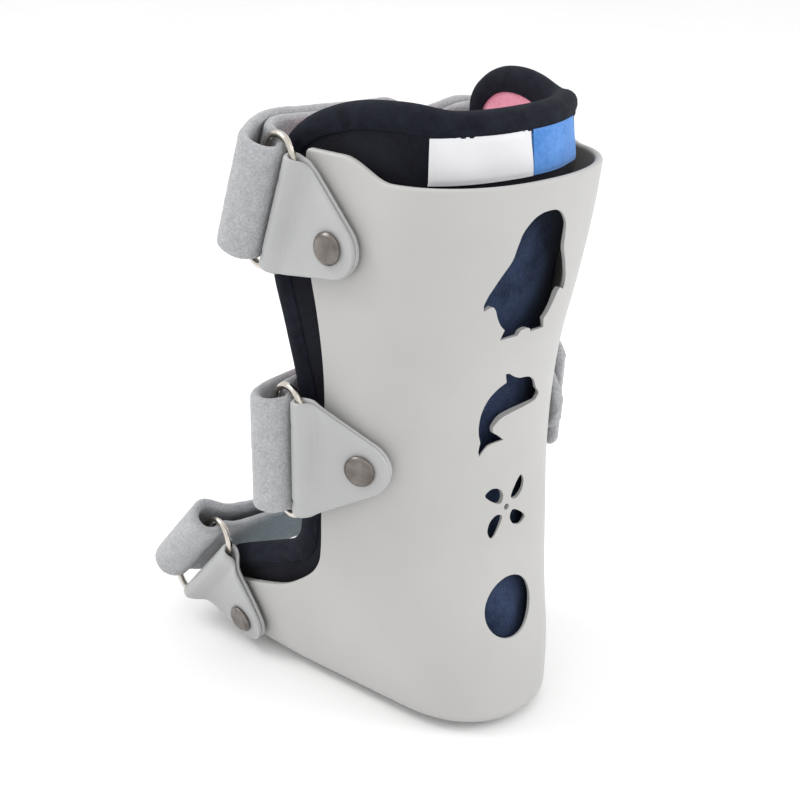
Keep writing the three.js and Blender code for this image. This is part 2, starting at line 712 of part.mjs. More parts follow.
// The tape that binds the liner's edge: a channel swept up the near front edge, over the top
// and down the far front edge.
function bindingGeometry(outer, inner) {
  const first = 4;
  const last = outer[0].length - 1;
  const edge = (grid, step) => [
    ...grid.slice(first).map((row) => row[last - step]),
    ...grid.at(-1 - step).slice(1, -1).reverse(),
    ...grid.slice(first).map((row) => row[step]).reverse(),
  ];
  const between = (step) => {
    const inside = edge(inner, step);
    return edge(outer, step).map((point, k) => point.clone().lerp(inside[k], 0.5));
  };
  const [behind, middle] = [between(1), between(0)];
  const half = (linerWall + clearance + liningWall) / 2 + bindingGap;
  const skin = half + bindingWall;
  const lip = bindingGap + bindingWall;
  const bevel = 0.8 * bindingWall;
  const section = [
    [-bindingWidth, skin], [lip - bevel, skin], [lip, skin - bevel], [lip, bevel - skin],
    [lip - bevel, -skin], [-bindingWidth, -skin], [-bindingWidth, -half], [bindingGap, -half],
    [bindingGap, half], [-bindingWidth, half],
  ];
  const count = section.length;
  const points = [];
  const faces = [];
  middle.forEach((place, k) => {
    const before = middle[Math.max(k - 1, 0)];
    const after = middle[Math.min(k + 1, middle.length - 1)];
    const along = after.clone().sub(before).normalize();
    const ahead = place.clone().sub(behind[k]);
    const outward = ahead.addScaledVector(along, -ahead.dot(along)).normalize();
    const through = new THREE.Vector3().crossVectors(along, outward);
    for (const [out, up] of section) {
      points.push(place.clone().addScaledVector(outward, out).addScaledVector(through, up));
    }
    if (k === 0) return;
    for (let side = 0; side < count; side++) {
      const [a, b] = [(k - 1) * count + side, (k - 1) * count + (side + 1) % count];
      faces.push(a, b + count, b, a, a + count, b + count);
    }
  });
  const contour = section.map(([x, y]) => new THREE.Vector2(x, y));
  const end = (middle.length - 1) * count;
  for (const [a, b, c] of THREE.ShapeUtils.triangulateShape(contour, [])) {
    faces.push(a, c, b, end + a, end + b, end + c);
  }
  return geometryOf(points, faces);
}

// A thin patch on the liner's outer face, between two places round it and two heights.
function patchGeometry(fromU, toU, low, high) {
  const between = columnPlaces(linerColumns).filter((u) => u > fromU && u < toU);
  const places = [fromU, ...between, toU];
  const surface = (depth) => [low, (low + high) / 2, high].map((height) => (
    places.map((u) => {
      const inset = linerInset(u, height, shellWall + linerGap - depth);
      return wallPoint(u, height, linerReach(height), inset);
    })));
  return closedWall(surface(2 * clearance + patchWall), surface(2 * clearance), false);
}

function soleGeometry() {
  const wall = columnPlaces(shellColumns).map((u) => (
    wallPoint(u, shellBase, footReach, edgeRadius + soleInset)));
  const outline = [...wall, ...toeArc(wall.at(-1))];
  const count = outline.length;
  const ring = outline.map((_, k) => k);
  const layers = [0, soleThickness].map((height) => (
    outline.map((point) => point.clone().setZ(height))));
  const edge = ring.flatMap((k) => {
    const next = (k + 1) % count;
    return [k, k + count, next, next, k + count, next + count];
  });
  return geometryOf(layers.flat(), [
    ...floorFaces(ring, wall.length, false),
    ...floorFaces(ring.map((k) => k + count), wall.length, true),
    ...edge,
  ]);
}

function shellGeometry(seats) {
  let shell = solidOf(closedWall(shellGrid(0), shellGrid(shellWall), true));
  for (const cutter of backCutters()) shell = shell.subtract(cutter);
  for (const seat of seats) {
    const hole = plug(rivetShank + clearance, -2 * shellWall, shellWall);
    hole.applyMatrix4(seat);
    shell = shell.subtract(solidOf(hole));
  }
  return geometryFrom(shell);
}

function addPadding() {
  const liningDepth = linerWall + clearance;
  const fullDepth = liningDepth + liningWall;
  const patchLow = shellHeight - patchTuck;
  const patchHigh = shellHeight + patchRise;
  addPiece('liner', closedWall(layerGrid(0), layerGrid(linerWall), true), 'navy');
  addPiece('lining_lower', closedWall(
    layerGrid(liningDepth, 0, seamRow - 1), layerGrid(fullDepth, 0, seamRow - 1), true), 'pale');
  addPiece('lining_upper', closedWall(
    layerGrid(liningDepth, seamRow), layerGrid(fullDepth, seamRow), false), 'pink');
  addPiece('liner_binding', bindingGeometry(layerGrid(0), layerGrid(fullDepth)), 'tape');
  addPiece('label', patchGeometry(0.03, 0.5, patchLow, patchHigh), 'white');
  addPiece('side_panel', patchGeometry(-0.4, -0.03, patchLow, patchHigh), 'blue');
}

function addClosure(level, closure, near, far) {
  const tilt = THREE.MathUtils.degToRad(closure.tilt);
  const ahead = new THREE.Vector3(Math.cos(tilt), 0, Math.sin(tilt));
  const middle = new THREE.Vector3().setFromMatrixPosition(near.frame).setY(0);
  const band = rightFrame(ahead, new THREE.Vector3(0, 1, 0), middle);
  const slope = Math.atan2(near.forward.y, near.forward.dot(ahead));
  const swing = -(THREE.MathUtils.degToRad(closure.lean) + slope);
  const ringFrame = near.frame.clone()
    .multiply(new THREE.Matrix4().makeTranslation(tabReach, tabStandoff + foldRadius, 0))
    .multiply(new THREE.Matrix4().makeRotationZ(swing));
  const bar = new THREE.Vector3(ringSpan, 0, 0).applyMatrix4(ringFrame)
    .applyMatrix4(band.clone().invert());
  const strap = strapGeometry(closure, far, band, new THREE.Vector2(bar.x, bar.y));
  const rivetHeight = tabStandoff + 2 * (tabWall + clearance);
  const anchorHeight = tabStandoff + pocketFloor + clearance;
  addPiece(`tab_${level}`, tabGeometry(near), 'white', near.frame);
  addPiece(`ring_${level}`, ringGeometry(), 'nickel', ringFrame);
  addPiece(`rivet_${level}`, rivetGeometry(rivetHeight), 'gunmetal', near.seat);
  addPiece(`strap_${level}`, anchoredStrap(strap, far, band), 'brushed', band);
  addPiece(`anchor_${level}`, rivetGeometry(anchorHeight), 'gunmetal', far.seat);
}

// Assembly
const levels = Object.entries(closures).map(([level, closure]) => ({
  level, closure, near: closureFrames(closure, 1), far: closureFrames(closure, -1),
}));
addPiece('sole', soleGeometry(), 'rubber');
addPiece('shell', shellGeometry(levels.flatMap(({ near, far }) => [near.seat, far.seat])),
  'plastic');
addPadding();
for (const { level, closure, near, far } of levels) addClosure(level, closure, near, far);

export default boot;
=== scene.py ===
# A child's walking boot, dressed over its CAD frame.
# Tables and named sizes are in millimetres, and meshes are written in metres.
# +X points to the toes, +Y to the side with the rings, +Z up the leg.
import math

import bmesh
import bpy
import numpy as np
from mathutils import Matrix


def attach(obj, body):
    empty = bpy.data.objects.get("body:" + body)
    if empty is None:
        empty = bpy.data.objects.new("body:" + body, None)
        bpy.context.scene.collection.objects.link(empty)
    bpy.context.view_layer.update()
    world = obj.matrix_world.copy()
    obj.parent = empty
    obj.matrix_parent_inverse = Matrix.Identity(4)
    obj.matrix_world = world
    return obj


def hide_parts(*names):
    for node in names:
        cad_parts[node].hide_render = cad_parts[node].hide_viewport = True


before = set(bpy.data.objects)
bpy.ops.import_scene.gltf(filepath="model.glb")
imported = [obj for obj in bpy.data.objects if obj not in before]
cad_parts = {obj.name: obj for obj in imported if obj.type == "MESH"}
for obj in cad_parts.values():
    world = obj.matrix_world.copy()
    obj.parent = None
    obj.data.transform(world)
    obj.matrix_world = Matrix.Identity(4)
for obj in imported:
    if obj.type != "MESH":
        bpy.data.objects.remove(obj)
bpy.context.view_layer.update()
MM = 0.001
SEED = 7

# Sizes, the same as the frame's
CLEARANCE = 0.3
SHELL_HEIGHT = 188
SHELL_WALL = 2.6
HEEL_REACH = 27
FOOT_REACH = 92
CALF_HALF_WIDTH = 39.4
TOE_BULGE = 9
TOE_IN = 6.5
RIM_RISE = 5.7
EDGE_RADIUS = 5
SOLE_THICKNESS = 2
SOLE_INSET = 1.5
SHELL_BASE = SOLE_THICKNESS + CLEARANCE
LINER_WALL = 3.8
LINING_WALL = 1.2
LINER_GAP = 2
CALF_GAP = 6
LINER_HEIGHT = 207
TOP_LEAN = 1.6
STRAP_WIDTH = 40
STRAP_WALL = 3.5
STRAP_GAP = 0.5
RING_LENGTH = 42.5
RING_SPAN = 14
RING_WIRE = 2.4
RING_CORNER = 6.8
RING_PLAY = 0.55
TAB_WALL = 1.6
TAB_REACH = 20.5
TAB_LENGTH = 40
TAB_END = 9.6
TAB_STANDOFF = 1.4
RIVET_HEAD = 5.2
RIVET_SHANK = 1.8
RIVET_RISE = 1.6
RIVET_TAIL = 0.6
PATCH_TUCK = 1
PATCH_RISE = 12.5
PATCH_WALL = 0.6
PENGUIN_HEIGHT = 41
PENGUIN_FEET = 137.4
FAR_SHARE = 0.88
DOLPHIN_SIZE = 27
DOLPHIN_MIDDLE = 111.1
PINWHEEL_RADIUS = 11
PINWHEEL_MIDDLE = 76.1
HEEL_HOLE_RADIUS = 10.8
HEEL_HOLE_MIDDLE = 40
BACK_ROUNDNESS = 2.31
WALL_SPREAD = 2.2

# Columns: height, back, half width, depth of the rounded back, flare
SECTIONS = [
    [0.000, 1.09, 0.62, 0.74, 0.150],
    [0.094, 1.00, 0.71, 0.70, 0.157],
    [0.200, 0.82, 0.82, 0.75, 0.170],
    [0.318, 0.71, 0.90, 0.82, 0.183],
    [0.498, 0.67, 0.95, 0.95, 0.176],
    [0.658, 0.74, 0.98, 0.92, 0.166],
    [0.796, 0.92, 1.00, 0.80, 0.150],
    [0.919, 1.09, 1.00, 0.76, 0.130],
    [1.000, 1.17, 1.00, 0.76, 0.125],
]
# Columns: share of SHELL_HEIGHT, share of FOOT_REACH
SHELL_FRONT = [
    [0.000, 1.000], [0.062, 1.000], [0.094, 0.955], [0.126, 0.850], [0.158, 0.660],
    [0.184, 0.515], [0.216, 0.410], [0.245, 0.340], [0.275, 0.298], [0.307, 0.280],
    [0.387, 0.264], [0.498, 0.243], [0.622, 0.229], [0.695, 0.234], [0.770, 0.252],
    [0.828, 0.275], [0.919, 0.287], [1.000, 0.294],
]
LINER_FRONT = [
    [0.000, 1.020], [0.080, 1.015], [0.130, 0.975], [0.165, 0.905], [0.200, 0.770],
    [0.243, 0.585], [0.264, 0.490], [0.291, 0.435], [0.307, 0.413], [0.339, 0.402],
    [0.413, 0.380], [0.509, 0.375], [0.610, 0.391], [0.685, 0.424], [0.732, 0.446],
    [0.807, 0.487], [0.919, 0.483], [1.000, 0.452],
]
# Top edge of the liner on the far and the near side. Columns: reach, height
LINER_TOPS = [
    [[-0.25, 0.992], [-0.145, 0.993], [-0.03, 0.986], [0.12, 1.003], [0.277, 1.000],
     [0.37, 0.980], [0.45, 0.940], [0.50, 0.88]],
    [[-0.25, 0.992], [-0.145, 1.001], [-0.09, 1.004], [0, 1.004], [0.12, 0.999],
     [0.277, 0.978], [0.37, 0.955], [0.43, 0.926], [0.49, 0.873]],
]
CLOSURES = {
    "top": dict(
        reach=12.9, height=166.4, tilt=20.7, lean=3, free_end=0.45, opening=0, sag=8,
        front=[[-0.97, 0.42], [-0.88, 0.7], [-0.55, 0.52], [0, 0.32], [0.55, 0.46],
               [0.86, 0.52]],
        loop=[[-40, 0.5], [-80, 0.06], [-146, 0.25], [168, 1.3], [132, 1.75], [90, 1.6],
              [45, 1.0]],
    ),
    "middle": dict(
        reach=5.7, height=95.2, tilt=0, lean=5, free_end=0, opening=0,
        front=[[-0.96, 0.15], [-0.83, 0.26], [-0.5, 0.42], [0, 0.50], [0.5, 0.44],
               [0.82, 0.27]],
        loop=[[-71, 0.15], [-140, 0.3], [170, 1.3], [130, 2.0], [100, 1.75], [64, 0.95],
              [4, 0.7]],
    ),
    "bottom": dict(
        reach=70.5, height=11.6, tilt=42.6, lean=3, free_end=0.45, opening=1,
        front=[[-0.96, -0.3], [-0.8, -0.36], [-0.4, -0.5], [0, -0.5], [0.45, -0.46],
               [0.86, -0.38]],
        loop=[[-150, 0.3], [170, 0.45], [130, 0.8], [95, 1.1], [60, 1.2], [8, 1.0]],
    ),
}
# Outlines in (y, z) as shares of their size. A nested list is a smooth stretch.
PENGUIN_HALF = [
    [0, 1],
    [[0.08, 0.992], [0.16, 0.955], [0.235, 0.87], [0.265, 0.765], [0.29, 0.656], [0.36, 0.54],
     [0.43, 0.41]],
    [[0.455, 0.33], [0.446, 0.278]],
    [[0.383, 0.305], [0.346, 0.27]],
    [[0.312, 0.195], [0.27, 0.13], [0.224, 0.085]],
    [0.249, 0.005],
    [0.076, 0.007],
    [[0.05, 0.04], [0, 0.05]],
]
DOLPHIN = [
    [0.185, 0.50],
    [[0.12, 0.49], [0.03, 0.43], [-0.063, 0.39]],
    [[-0.23, 0.36], [-0.344, 0.285], [-0.42, 0.155]],
    [[-0.5, 0.06], [-0.433, -0.01]],
    [[-0.21, -0.026], [0.02, -0.044], [0.178, -0.078], [0.29, -0.163]],
    [[0.28, -0.233], [0.196, -0.296], [0.107, -0.374]],
    [[0.31, -0.385], [0.393, -0.43], [0.456, -0.507]],
    [[0.474, -0.437], [0.456, -0.326]],
    [[0.485, -0.215], [0.493, -0.09], [0.47, 0.07], [0.396, 0.222], [0.281, 0.326],
     [0.152, 0.385]],
]
PINWHEEL_BLADE = [
    [0.86, 0.60], [0.62, 0.76], [0.30, 0.66], [0.15, 0.40], [0.27, 0.18], [0.60, 0.34],
]


# Camera, at the photograph's place
def look_from(place, azimuth, elevation, roll, lens):
    a, e, r = (math.radians(x) for x in (azimuth, elevation, roll))
    behind = np.array([
        math.sin(a) * math.cos(e), -math.cos(a) * math.cos(e), math.sin(e)])
    level = np.cross(-behind, [0, 0, 1])
    level /= np.linalg.norm(level)
    above = np.cross(level, -behind)
    right = level * math.cos(r) + above * math.sin(r)
    up = above * math.cos(r) - level * math.sin(r)
    data = bpy.data.cameras.new("camera")
    data.lens = lens
    data.sensor_width = 36
    data.clip_start = 0.01
    camera = bpy.data.objects.new("camera", data)
    rows = np.eye(4)
    rows[:3, 0], rows[:3, 1], rows[:3, 2] = right, up, behind
    rows[:3, 3] = np.array(place) * MM
    camera.matrix_world = Matrix(rows.tolist())
    bpy.context.scene.collection.objects.link(camera)
    bpy.context.scene.camera = camera


CAMERA_PLACE = (-300.39, 305.40, 289.78)
CAMERA_AZIMUTH, CAMERA_ELEVATION, CAMERA_ROLL = 227.618, 22.78, 0.787
CAMERA_LENS = 63.67
look_from(CAMERA_PLACE, CAMERA_AZIMUTH, CAMERA_ELEVATION, CAMERA_ROLL, CAMERA_LENS)


# Small tools
def smoothstep(x, low, high):
    t = np.clip((np.asarray(x, float) - low) / (high - low), 0, 1)
    return t * t * (3 - 2 * t)


def smooth_table(rows):
    table = np.array(rows, float)
    places, values = table[:, 0], table[:, 1:]
    slopes = np.diff(values, axis=0) / np.diff(places)[:, None]
    knots = np.vstack([slopes[:1], (slopes[1:] + slopes[:-1]) / 2, slopes[-1:]])

    def read(place):
        place = np.clip(np.asarray(place, float), places[0], places[-1])
        k = np.clip(np.searchsorted(places, place, side="right") - 1, 0, len(places) - 2)
        width = (places[k + 1] - places[k])[..., None]
        t = (place - places[k])[..., None] / width
        low = (2 * t**3 - 3 * t**2 + 1) * values[k] + (t**3 - 2 * t**2 + t) * width * knots[k]
        high = (3 * t**2 - 2 * t**3) * values[k + 1] + (t**3 - t**2) * width * knots[k + 1]
        return low + high

    return read


section_table = smooth_table(SECTIONS)
shell_front_table = smooth_table(SHELL_FRONT)
liner_front_table = smooth_table(LINER_FRONT)
liner_top_tables = [smooth_table(rows) for rows in LINER_TOPS]


def share_of_shell(height):
    return (np.asarray(height, float) - SHELL_BASE) / SHELL_HEIGHT


def shell_reach(height):
    return FOOT_REACH * shell_front_table(share_of_shell(height))[..., 0]


def liner_reach(height):
    return FOOT_REACH * liner_front_table(share_of_shell(height))[..., 0]


def section_at(height):
    rows = section_table(share_of_shell(height))
    return (
        -rows[..., 0] * HEEL_REACH, rows[..., 1] * CALF_HALF_WIDTH,
        rows[..., 2] * CALF_HALF_WIDTH, rows[..., 3],
    )


# Half width of the shell's outer face at a point of its plan.
def half_width(reach, height):
    back, half, depth, flare = section_at(height)
    share = np.clip((reach - back) / depth, 0, 1)
    rounded = half * (1 - (1 - share) ** BACK_ROUNDNESS) ** (1 / BACK_ROUNDNESS)
    ball = 0.45 * FOOT_REACH
    narrowing = TOE_IN * (np.maximum(reach - ball, 0) / (FOOT_REACH - ball)) ** 2
    return rounded + flare * (reach - back) - narrowing


# A point inside the shell's outer face. u runs from -1, the far front edge, to 1, the near one.
def wall_point(u, height, front, inset):
    u, height, front, inset = np.broadcast_arrays(
        *(np.asarray(x, float) for x in (u, height, front, inset)))
    back = section_at(height)[0]
    side = np.where(u < 0, -1.0, 1.0)

    def place(share):
        reach = back + (front - back) * np.maximum(share, 0) ** WALL_SPREAD
        return reach, side * half_width(reach, height)

    step, share = 0.005, np.abs(u)
    x, y = place(share)
    (x1, y1), (x0, y0) = place(share + step), place(share - step)
    along_x, along_y = x1 - x0, y1 - y0
    length = np.hypot(along_x, along_y)
    centre = share < 1e-6
    along_x = np.where(centre, 0, along_x / length)
    along_y = np.where(centre, side, along_y / length)
    px = np.minimum(x + inset * along_y * side, front)
    py = y - inset * along_x * side
    return np.stack([px, py, height], -1)


# A mesh object from points in millimetres, with faces and their texture places.
def mesh_object(name, points, faces, texture=None, smooth=True):
    mesh = bpy.data.meshes.new(name)
    mesh.from_pydata((np.asarray(points) * MM).tolist(), [], [list(f) for f in faces])
    if texture is not None:
        layer = mesh.uv_layers.new(name="flat")
        spots = np.asarray(texture, float)
        index = np.empty(len(mesh.loops), int)
        mesh.loops.foreach_get("vertex_index", index)
        layer.data.foreach_set("uv", spots[index].astype(np.float32).ravel())
    mesh.polygons.foreach_set("use_smooth", [smooth] * len(mesh.polygons))
    mesh.update()
    obj = bpy.data.objects.new(name, mesh)
    bpy.context.scene.collection.objects.link(obj)
    return obj


def grid_faces(rows, columns, start=0, wrap_rows=False, wrap_columns=False, flip=False):
    i = np.arange(rows if wrap_rows else rows - 1)
    j = np.arange(columns if wrap_columns else columns - 1)
    i, j = np.meshgrid(i, j, indexing="ij")
    i1, j1 = (i + 1) % rows, (j + 1) % columns
    quads = np.stack([
        i * columns + j, i1 * columns + j, i1 * columns + j1, i * columns + j1], -1)
    quads = quads.reshape(-1, 4) + start
    return (quads[:, ::-1] if flip else quads).tolist()


# A grid's texture places, as metres along its columns and rows.
def grid_texture(grid):
    across = np.linalg.norm(np.diff(grid, axis=1), axis=-1)
    middle = np.median(across, axis=0)
    u = np.concatenate([[0], np.cumsum(middle)])
    along = np.linalg.norm(np.diff(grid, axis=0), axis=-1)
    v = np.concatenate([[0], np.cumsum(np.median(along, axis=1))])
    uu, vv = np.meshgrid(u, v)
    return np.stack([uu, vv], -1).reshape(-1, 2) * MM


def toe_arc(corner, count):
    shares = np.linspace(1, -1, count + 2)[1:-1]
    return np.stack([
        corner[0] + TOE_BULGE * (1 - shares**2), corner[1] * shares,
        np.full(count, corner[2])], -1)


# Joins an outer and an inner grid into a closed wall, with a floor where one is wanted.
def closed_wall(outer, inner, with_floor, toe_count=24):
    rows, columns = outer.shape[:2]
    size = rows * columns
    points = [outer.reshape(-1, 3), inner.reshape(-1, 3)]
    texture = [grid_texture(outer), grid_texture(inner)]
    faces = grid_faces(rows, columns) + grid_faces(rows, columns, size, flip=True)
    last = columns - 1
    for i in range(rows - 1):
        a, b = i * columns, (i + 1) * columns
        faces.append([a, a + size, b + size, b])
        faces.append([a + last, b + last, b + last + size, a + last + size])
    for j in range(last):
        a = (rows - 1) * columns + j
        faces.append([a, a + size, a + size + 1, a + 1])
        if not with_floor:
            faces.append([j, j + 1, j + 1 + size, j + size])
    if with_floor:
        rims = []
        total = 2 * size
        for index, grid in enumerate((outer, inner)):
            toe = toe_arc(grid[0, last], toe_count)
            points.append(toe)
            texture.append(toe[:, :2] * MM)
            toe_ring = list(range(total, total + toe_count))
            total += toe_count
            ring = [index * size + j for j in range(columns)] + toe_ring
            heel, count = last // 2, columns + toe_count
            for k in range(count // 2):
                corners = [
                    ring[(heel + k) % count], ring[(heel + k + 1) % count],
                    ring[(heel - k - 1) % count], ring[(heel - k) % count]]
                corners = list(dict.fromkeys(corners))
                if len(corners) > 2:
                    faces.append(corners[::-1] if index else corners)
            rims.append([index * size + last, *toe_ring, index * size])
        for k in range(len(rims[0]) - 1):
            faces.append([rims[0][k], rims[1][k], rims[1][k + 1], rims[0][k + 1]])
    return np.vstack(points), faces, np.vstack(texture)


def apply_modifiers(obj):
    depsgraph = bpy.context.evaluated_depsgraph_get()
    mesh = bpy.data.meshes.new_from_object(obj.evaluated_get(depsgraph))
    old = obj.data
    obj.modifiers.clear()
    obj.data = mesh
    bpy.data.meshes.remove(old)


def sharpen(obj, degrees):
    mesh = bmesh.new()
    mesh.from_mesh(obj.data)
    limit = math.radians(degrees)
    for edge in mesh.edges:
        if len(edge.link_faces) == 2:
            edge.smooth = edge.calc_face_angle(0) < limit
    mesh.to_mesh(obj.data)
    mesh.free()


# Shader nodes
class Look:
    def __init__(self, name):
        self.material = bpy.data.materials.new(name)
        self.material.use_nodes = True
        self.tree = self.material.node_tree
        self.shader = self.tree.nodes["Principled BSDF"]
        self.places = self.tree.nodes.new("ShaderNodeTexCoord")

    def node(self, kind, **values):
        node = self.tree.nodes.new("ShaderNode" + kind)
        for key, value in values.items():
            if key in node.inputs:
                node.inputs[key].default_value = value
            else:
                setattr(node, key, value)
        return node

    def link(self, source, target):
        self.tree.links.new(source, target)
        return self

    def noise(self, scale, detail=4.0, roughness=0.55, stretch=None, flat=False):
        texture = self.node("TexNoise", Scale=scale, Detail=detail, Roughness=roughness)
        source = self.places.outputs["UV" if flat else "Object"]
        if stretch:
            mapping = self.node("Mapping")
            mapping.inputs["Scale"].default_value = stretch
            self.link(source, mapping.inputs["Vector"])
            source = mapping.outputs["Vector"]
        self.link(source, texture.inputs["Vector"])
        return texture.outputs["Fac"]

    def wave(self, scale, direction="X", flat=True, distortion=0.0):
        texture = self.node("TexWave", Scale=scale, Distortion=distortion)
        texture.bands_direction = direction
        self.link(self.places.outputs["UV" if flat else "Object"], texture.inputs["Vector"])
        return texture.outputs["Fac"]

    def ramp(self, source, low, high, first=0.3, last=0.7):
        ramp = self.node("ValToRGB")
        stops = ramp.color_ramp.elements
        stops[0].position, stops[1].position = first, last
        stops[0].color, stops[1].color = (*low, 1), (*high, 1)
        self.link(source, ramp.inputs["Fac"])
        return ramp.outputs["Color"]

    # How far along an axis of the object a point lies, from 0 to 1 between two places.
    def between(self, axis, low, high):
        parts = self.node("SeparateXYZ")
        self.link(self.places.outputs["Object"], parts.inputs["Vector"])
        node = self.node("MapRange", interpolation_type="SMOOTHSTEP")
        node.inputs["From Min"].default_value = low * MM
        node.inputs["From Max"].default_value = high * MM
        self.link(parts.outputs[axis], node.inputs["Value"])
        return node.outputs["Result"]

    def blend(self, share, first, second):
        node = self.node("MixRGB")
        self.link(share, node.inputs["Fac"])
        self.link(first, node.inputs["Color1"])
        self.link(second, node.inputs["Color2"])
        return node.outputs["Color"]

    def spread(self, source, low, high):
        node = self.node("MapRange")
        node.inputs["To Min"].default_value = low
        node.inputs["To Max"].default_value = high
        self.link(source, node.inputs["Value"])
        return node.outputs["Result"]

    def mixed(self, kind, first, second):
        node = self.node("Math", operation=kind)
        self.link(first, node.inputs[0])
        if isinstance(second, (int, float)):
            node.inputs[1].default_value = second
        else:
            self.link(second, node.inputs[1])
        return node.outputs[0]

    def colour(self, socket):
        return self.link(socket, self.shader.inputs["Base Color"])

    def rough(self, socket):
        return self.link(socket, self.shader.inputs["Roughness"])

    def bump(self, *layers):
        normal = None
        for height, depth, strength in layers:
            node = self.node("Bump", Strength=strength, Distance=depth * MM)
            self.link(height, node.inputs["Height"])
            if normal is not None:
                self.link(normal, node.inputs["Normal"])
            normal = node.outputs["Normal"]
        return self.link(normal, self.shader.inputs["Normal"])

    def set(self, **values):
        for key, value in values.items():
            self.shader.inputs[key.replace("_", " ")].default_value = value
        return self


def moulded_plastic():
    look = Look("moulded_plastic")
    tone = look.noise(18, 3)
    look.colour(look.ramp(tone, (0.445, 0.440, 0.428), (0.485, 0.480, 0.47)))
    look.rough(look.spread(look.noise(120, 5), 0.38, 0.5))
    look.bump((look.noise(14, 2), 0.6, 0.12), (look.noise(900, 3), 0.05, 0.10))
    return look.set(Specular_IOR_Level=0.42).material


def rubber():
    look = Look("moulded_rubber")
    look.colour(look.ramp(look.noise(60), (0.22, 0.24, 0.25), (0.30, 0.32, 0.33)))
    look.rough(look.spread(look.noise(300), 0.6, 0.8))
    look.bump((look.noise(800, 3), 0.1, 0.3))
    return look.material


# Cloth with a woven rib along its flat places.
def ribbed_tape(name, dark, light):
    look = Look(name)
    look.colour(look.ramp(look.noise(260, 4), dark, light))
    ribs = look.mixed("MULTIPLY", look.wave(700, "X"), look.wave(520, "Y"))
    look.rough(look.spread(look.noise(400), 0.72, 0.9))
    look.bump((ribs, 0.3, 0.8), (look.noise(1500, 3), 0.1, 0.3))
    look.set(Sheen_Weight=0.03, Sheen_Roughness=0.4, Sheen_Tint=(0.5, 0.55, 0.7, 1))
    return look.set(Specular_IOR_Level=0.15).material


# Cloth with a soft nap, such as fleece, felt or brushed loop.
def napped(name, dark, light, scale=520, depth=0.35, sheen=0.25, tint=(1, 1, 1, 1)):
    look = Look(name)
    patches = look.mixed("ADD", look.noise(scale, 6, 0.7), look.noise(scale / 7, 3))
    patches = look.mixed("MULTIPLY", patches, 0.5)
    look.colour(look.ramp(patches, dark, light, 0.38, 0.62))
    look.rough(look.spread(look.noise(scale), 0.85, 1.0))
    look.bump(
        (look.noise(scale / 3, 5, 0.7), depth, 0.6), (look.noise(3 * scale, 4, 0.7), 0.2, 0.5))
    look.set(Sheen_Weight=sheen, Sheen_Roughness=0.5, Sheen_Tint=tint)
    return look.set(Specular_IOR_Level=0.15).material


# The long nap of the straps: fine bright tufts over shaded roots.
def brushed_loop():
    look = Look("brushed_loop")
    tufts = look.noise(1300, 3, 0.8)
    tone = look.mixed("ADD", look.mixed("MULTIPLY", tufts, 0.75), look.mixed(
        "MULTIPLY", look.noise(260, 4, 0.65), 0.25))
    look.colour(look.ramp(tone, (0.31, 0.315, 0.33), (0.54, 0.545, 0.56), 0.34, 0.66))
    look.bump((look.noise(380, 4, 0.7), 0.5, 0.7), (tufts, 0.45, 0.9))
    look.set(Roughness=0.97, Sheen_Weight=0.35, Sheen_Roughness=0.4)
    return look.set(Specular_IOR_Level=0.1).material


# Felt with painted shade: a darker copy of the felt is blended in over the rim and towards the
# front.
def padding_felt_painted_shade():
    look = Look("navy_felt")
    mottled = look.mixed("ADD", look.noise(1100, 5, 0.7), look.noise(90, 3))
    tone = look.mixed("MULTIPLY", mottled, 0.5)
    felt = look.ramp(tone, (0.008, 0.014, 0.036), (0.034, 0.052, 0.105), 0.36, 0.62)
    # painted shade: this darker copy of the felt stands for shadow, not for a different dye
    dark = look.ramp(tone, (0.004, 0.004, 0.007), (0.010, 0.011, 0.017), 0.36, 0.62)
    over = look.between("Z", 0.88 * SHELL_HEIGHT, 0.98 * SHELL_HEIGHT)
    ahead = look.between("X", -0.5 * HEEL_REACH, 0.4 * HEEL_REACH)
    # the painted shade is laid over the rim and towards the front, by height and by reach
    look.colour(look.blend(look.mixed("MAXIMUM", over, ahead), felt, dark))
    look.bump((look.noise(150, 5, 0.7), 0.25, 0.5), (look.noise(1300, 4, 0.7), 0.2, 0.5))
    look.set(Roughness=0.95, Sheen_Weight=0.05, Sheen_Roughness=0.5)
    return look.set(Specular_IOR_Level=0.15).material


def satin_cloth():
    look = Look("satin_cloth")
    look.colour(look.ramp(look.noise(40), (0.70, 0.70, 0.72), (0.77, 0.77, 0.79)))
    look.rough(look.spread(look.noise(90), 0.38, 0.5))
    look.bump((look.noise(45, 3), 0.8, 0.3), (look.wave(900, "X"), 0.05, 0.25))
    return look.set(Sheen_Weight=0.1).material


def vinyl():
    look = Look("soft_vinyl")
    look.colour(look.ramp(look.noise(50, 4), (0.405, 0.41, 0.408), (0.445, 0.45, 0.447)))
    look.rough(look.spread(look.noise(200), 0.36, 0.48))
    grain = look.node("TexVoronoi", Scale=1400)
    look.link(look.places.outputs["Object"], grain.inputs["Vector"])
    look.bump((look.noise(25, 2), 0.5, 0.2), (grain.outputs["Distance"], 0.04, 0.25))
    return look.set(Specular_IOR_Level=0.45).material


def metal(name, dark, light, low, high, scratch):
    look = Look(name)
    look.colour(look.ramp(look.noise(140, 4), dark, light))
    scratches = look.noise(500, 6, 0.7, stretch=(1, 6, 0.4))
    look.rough(look.spread(scratches, low, high))
    look.bump((scratches, 0.05, scratch))
    return look.set(Metallic=1).material


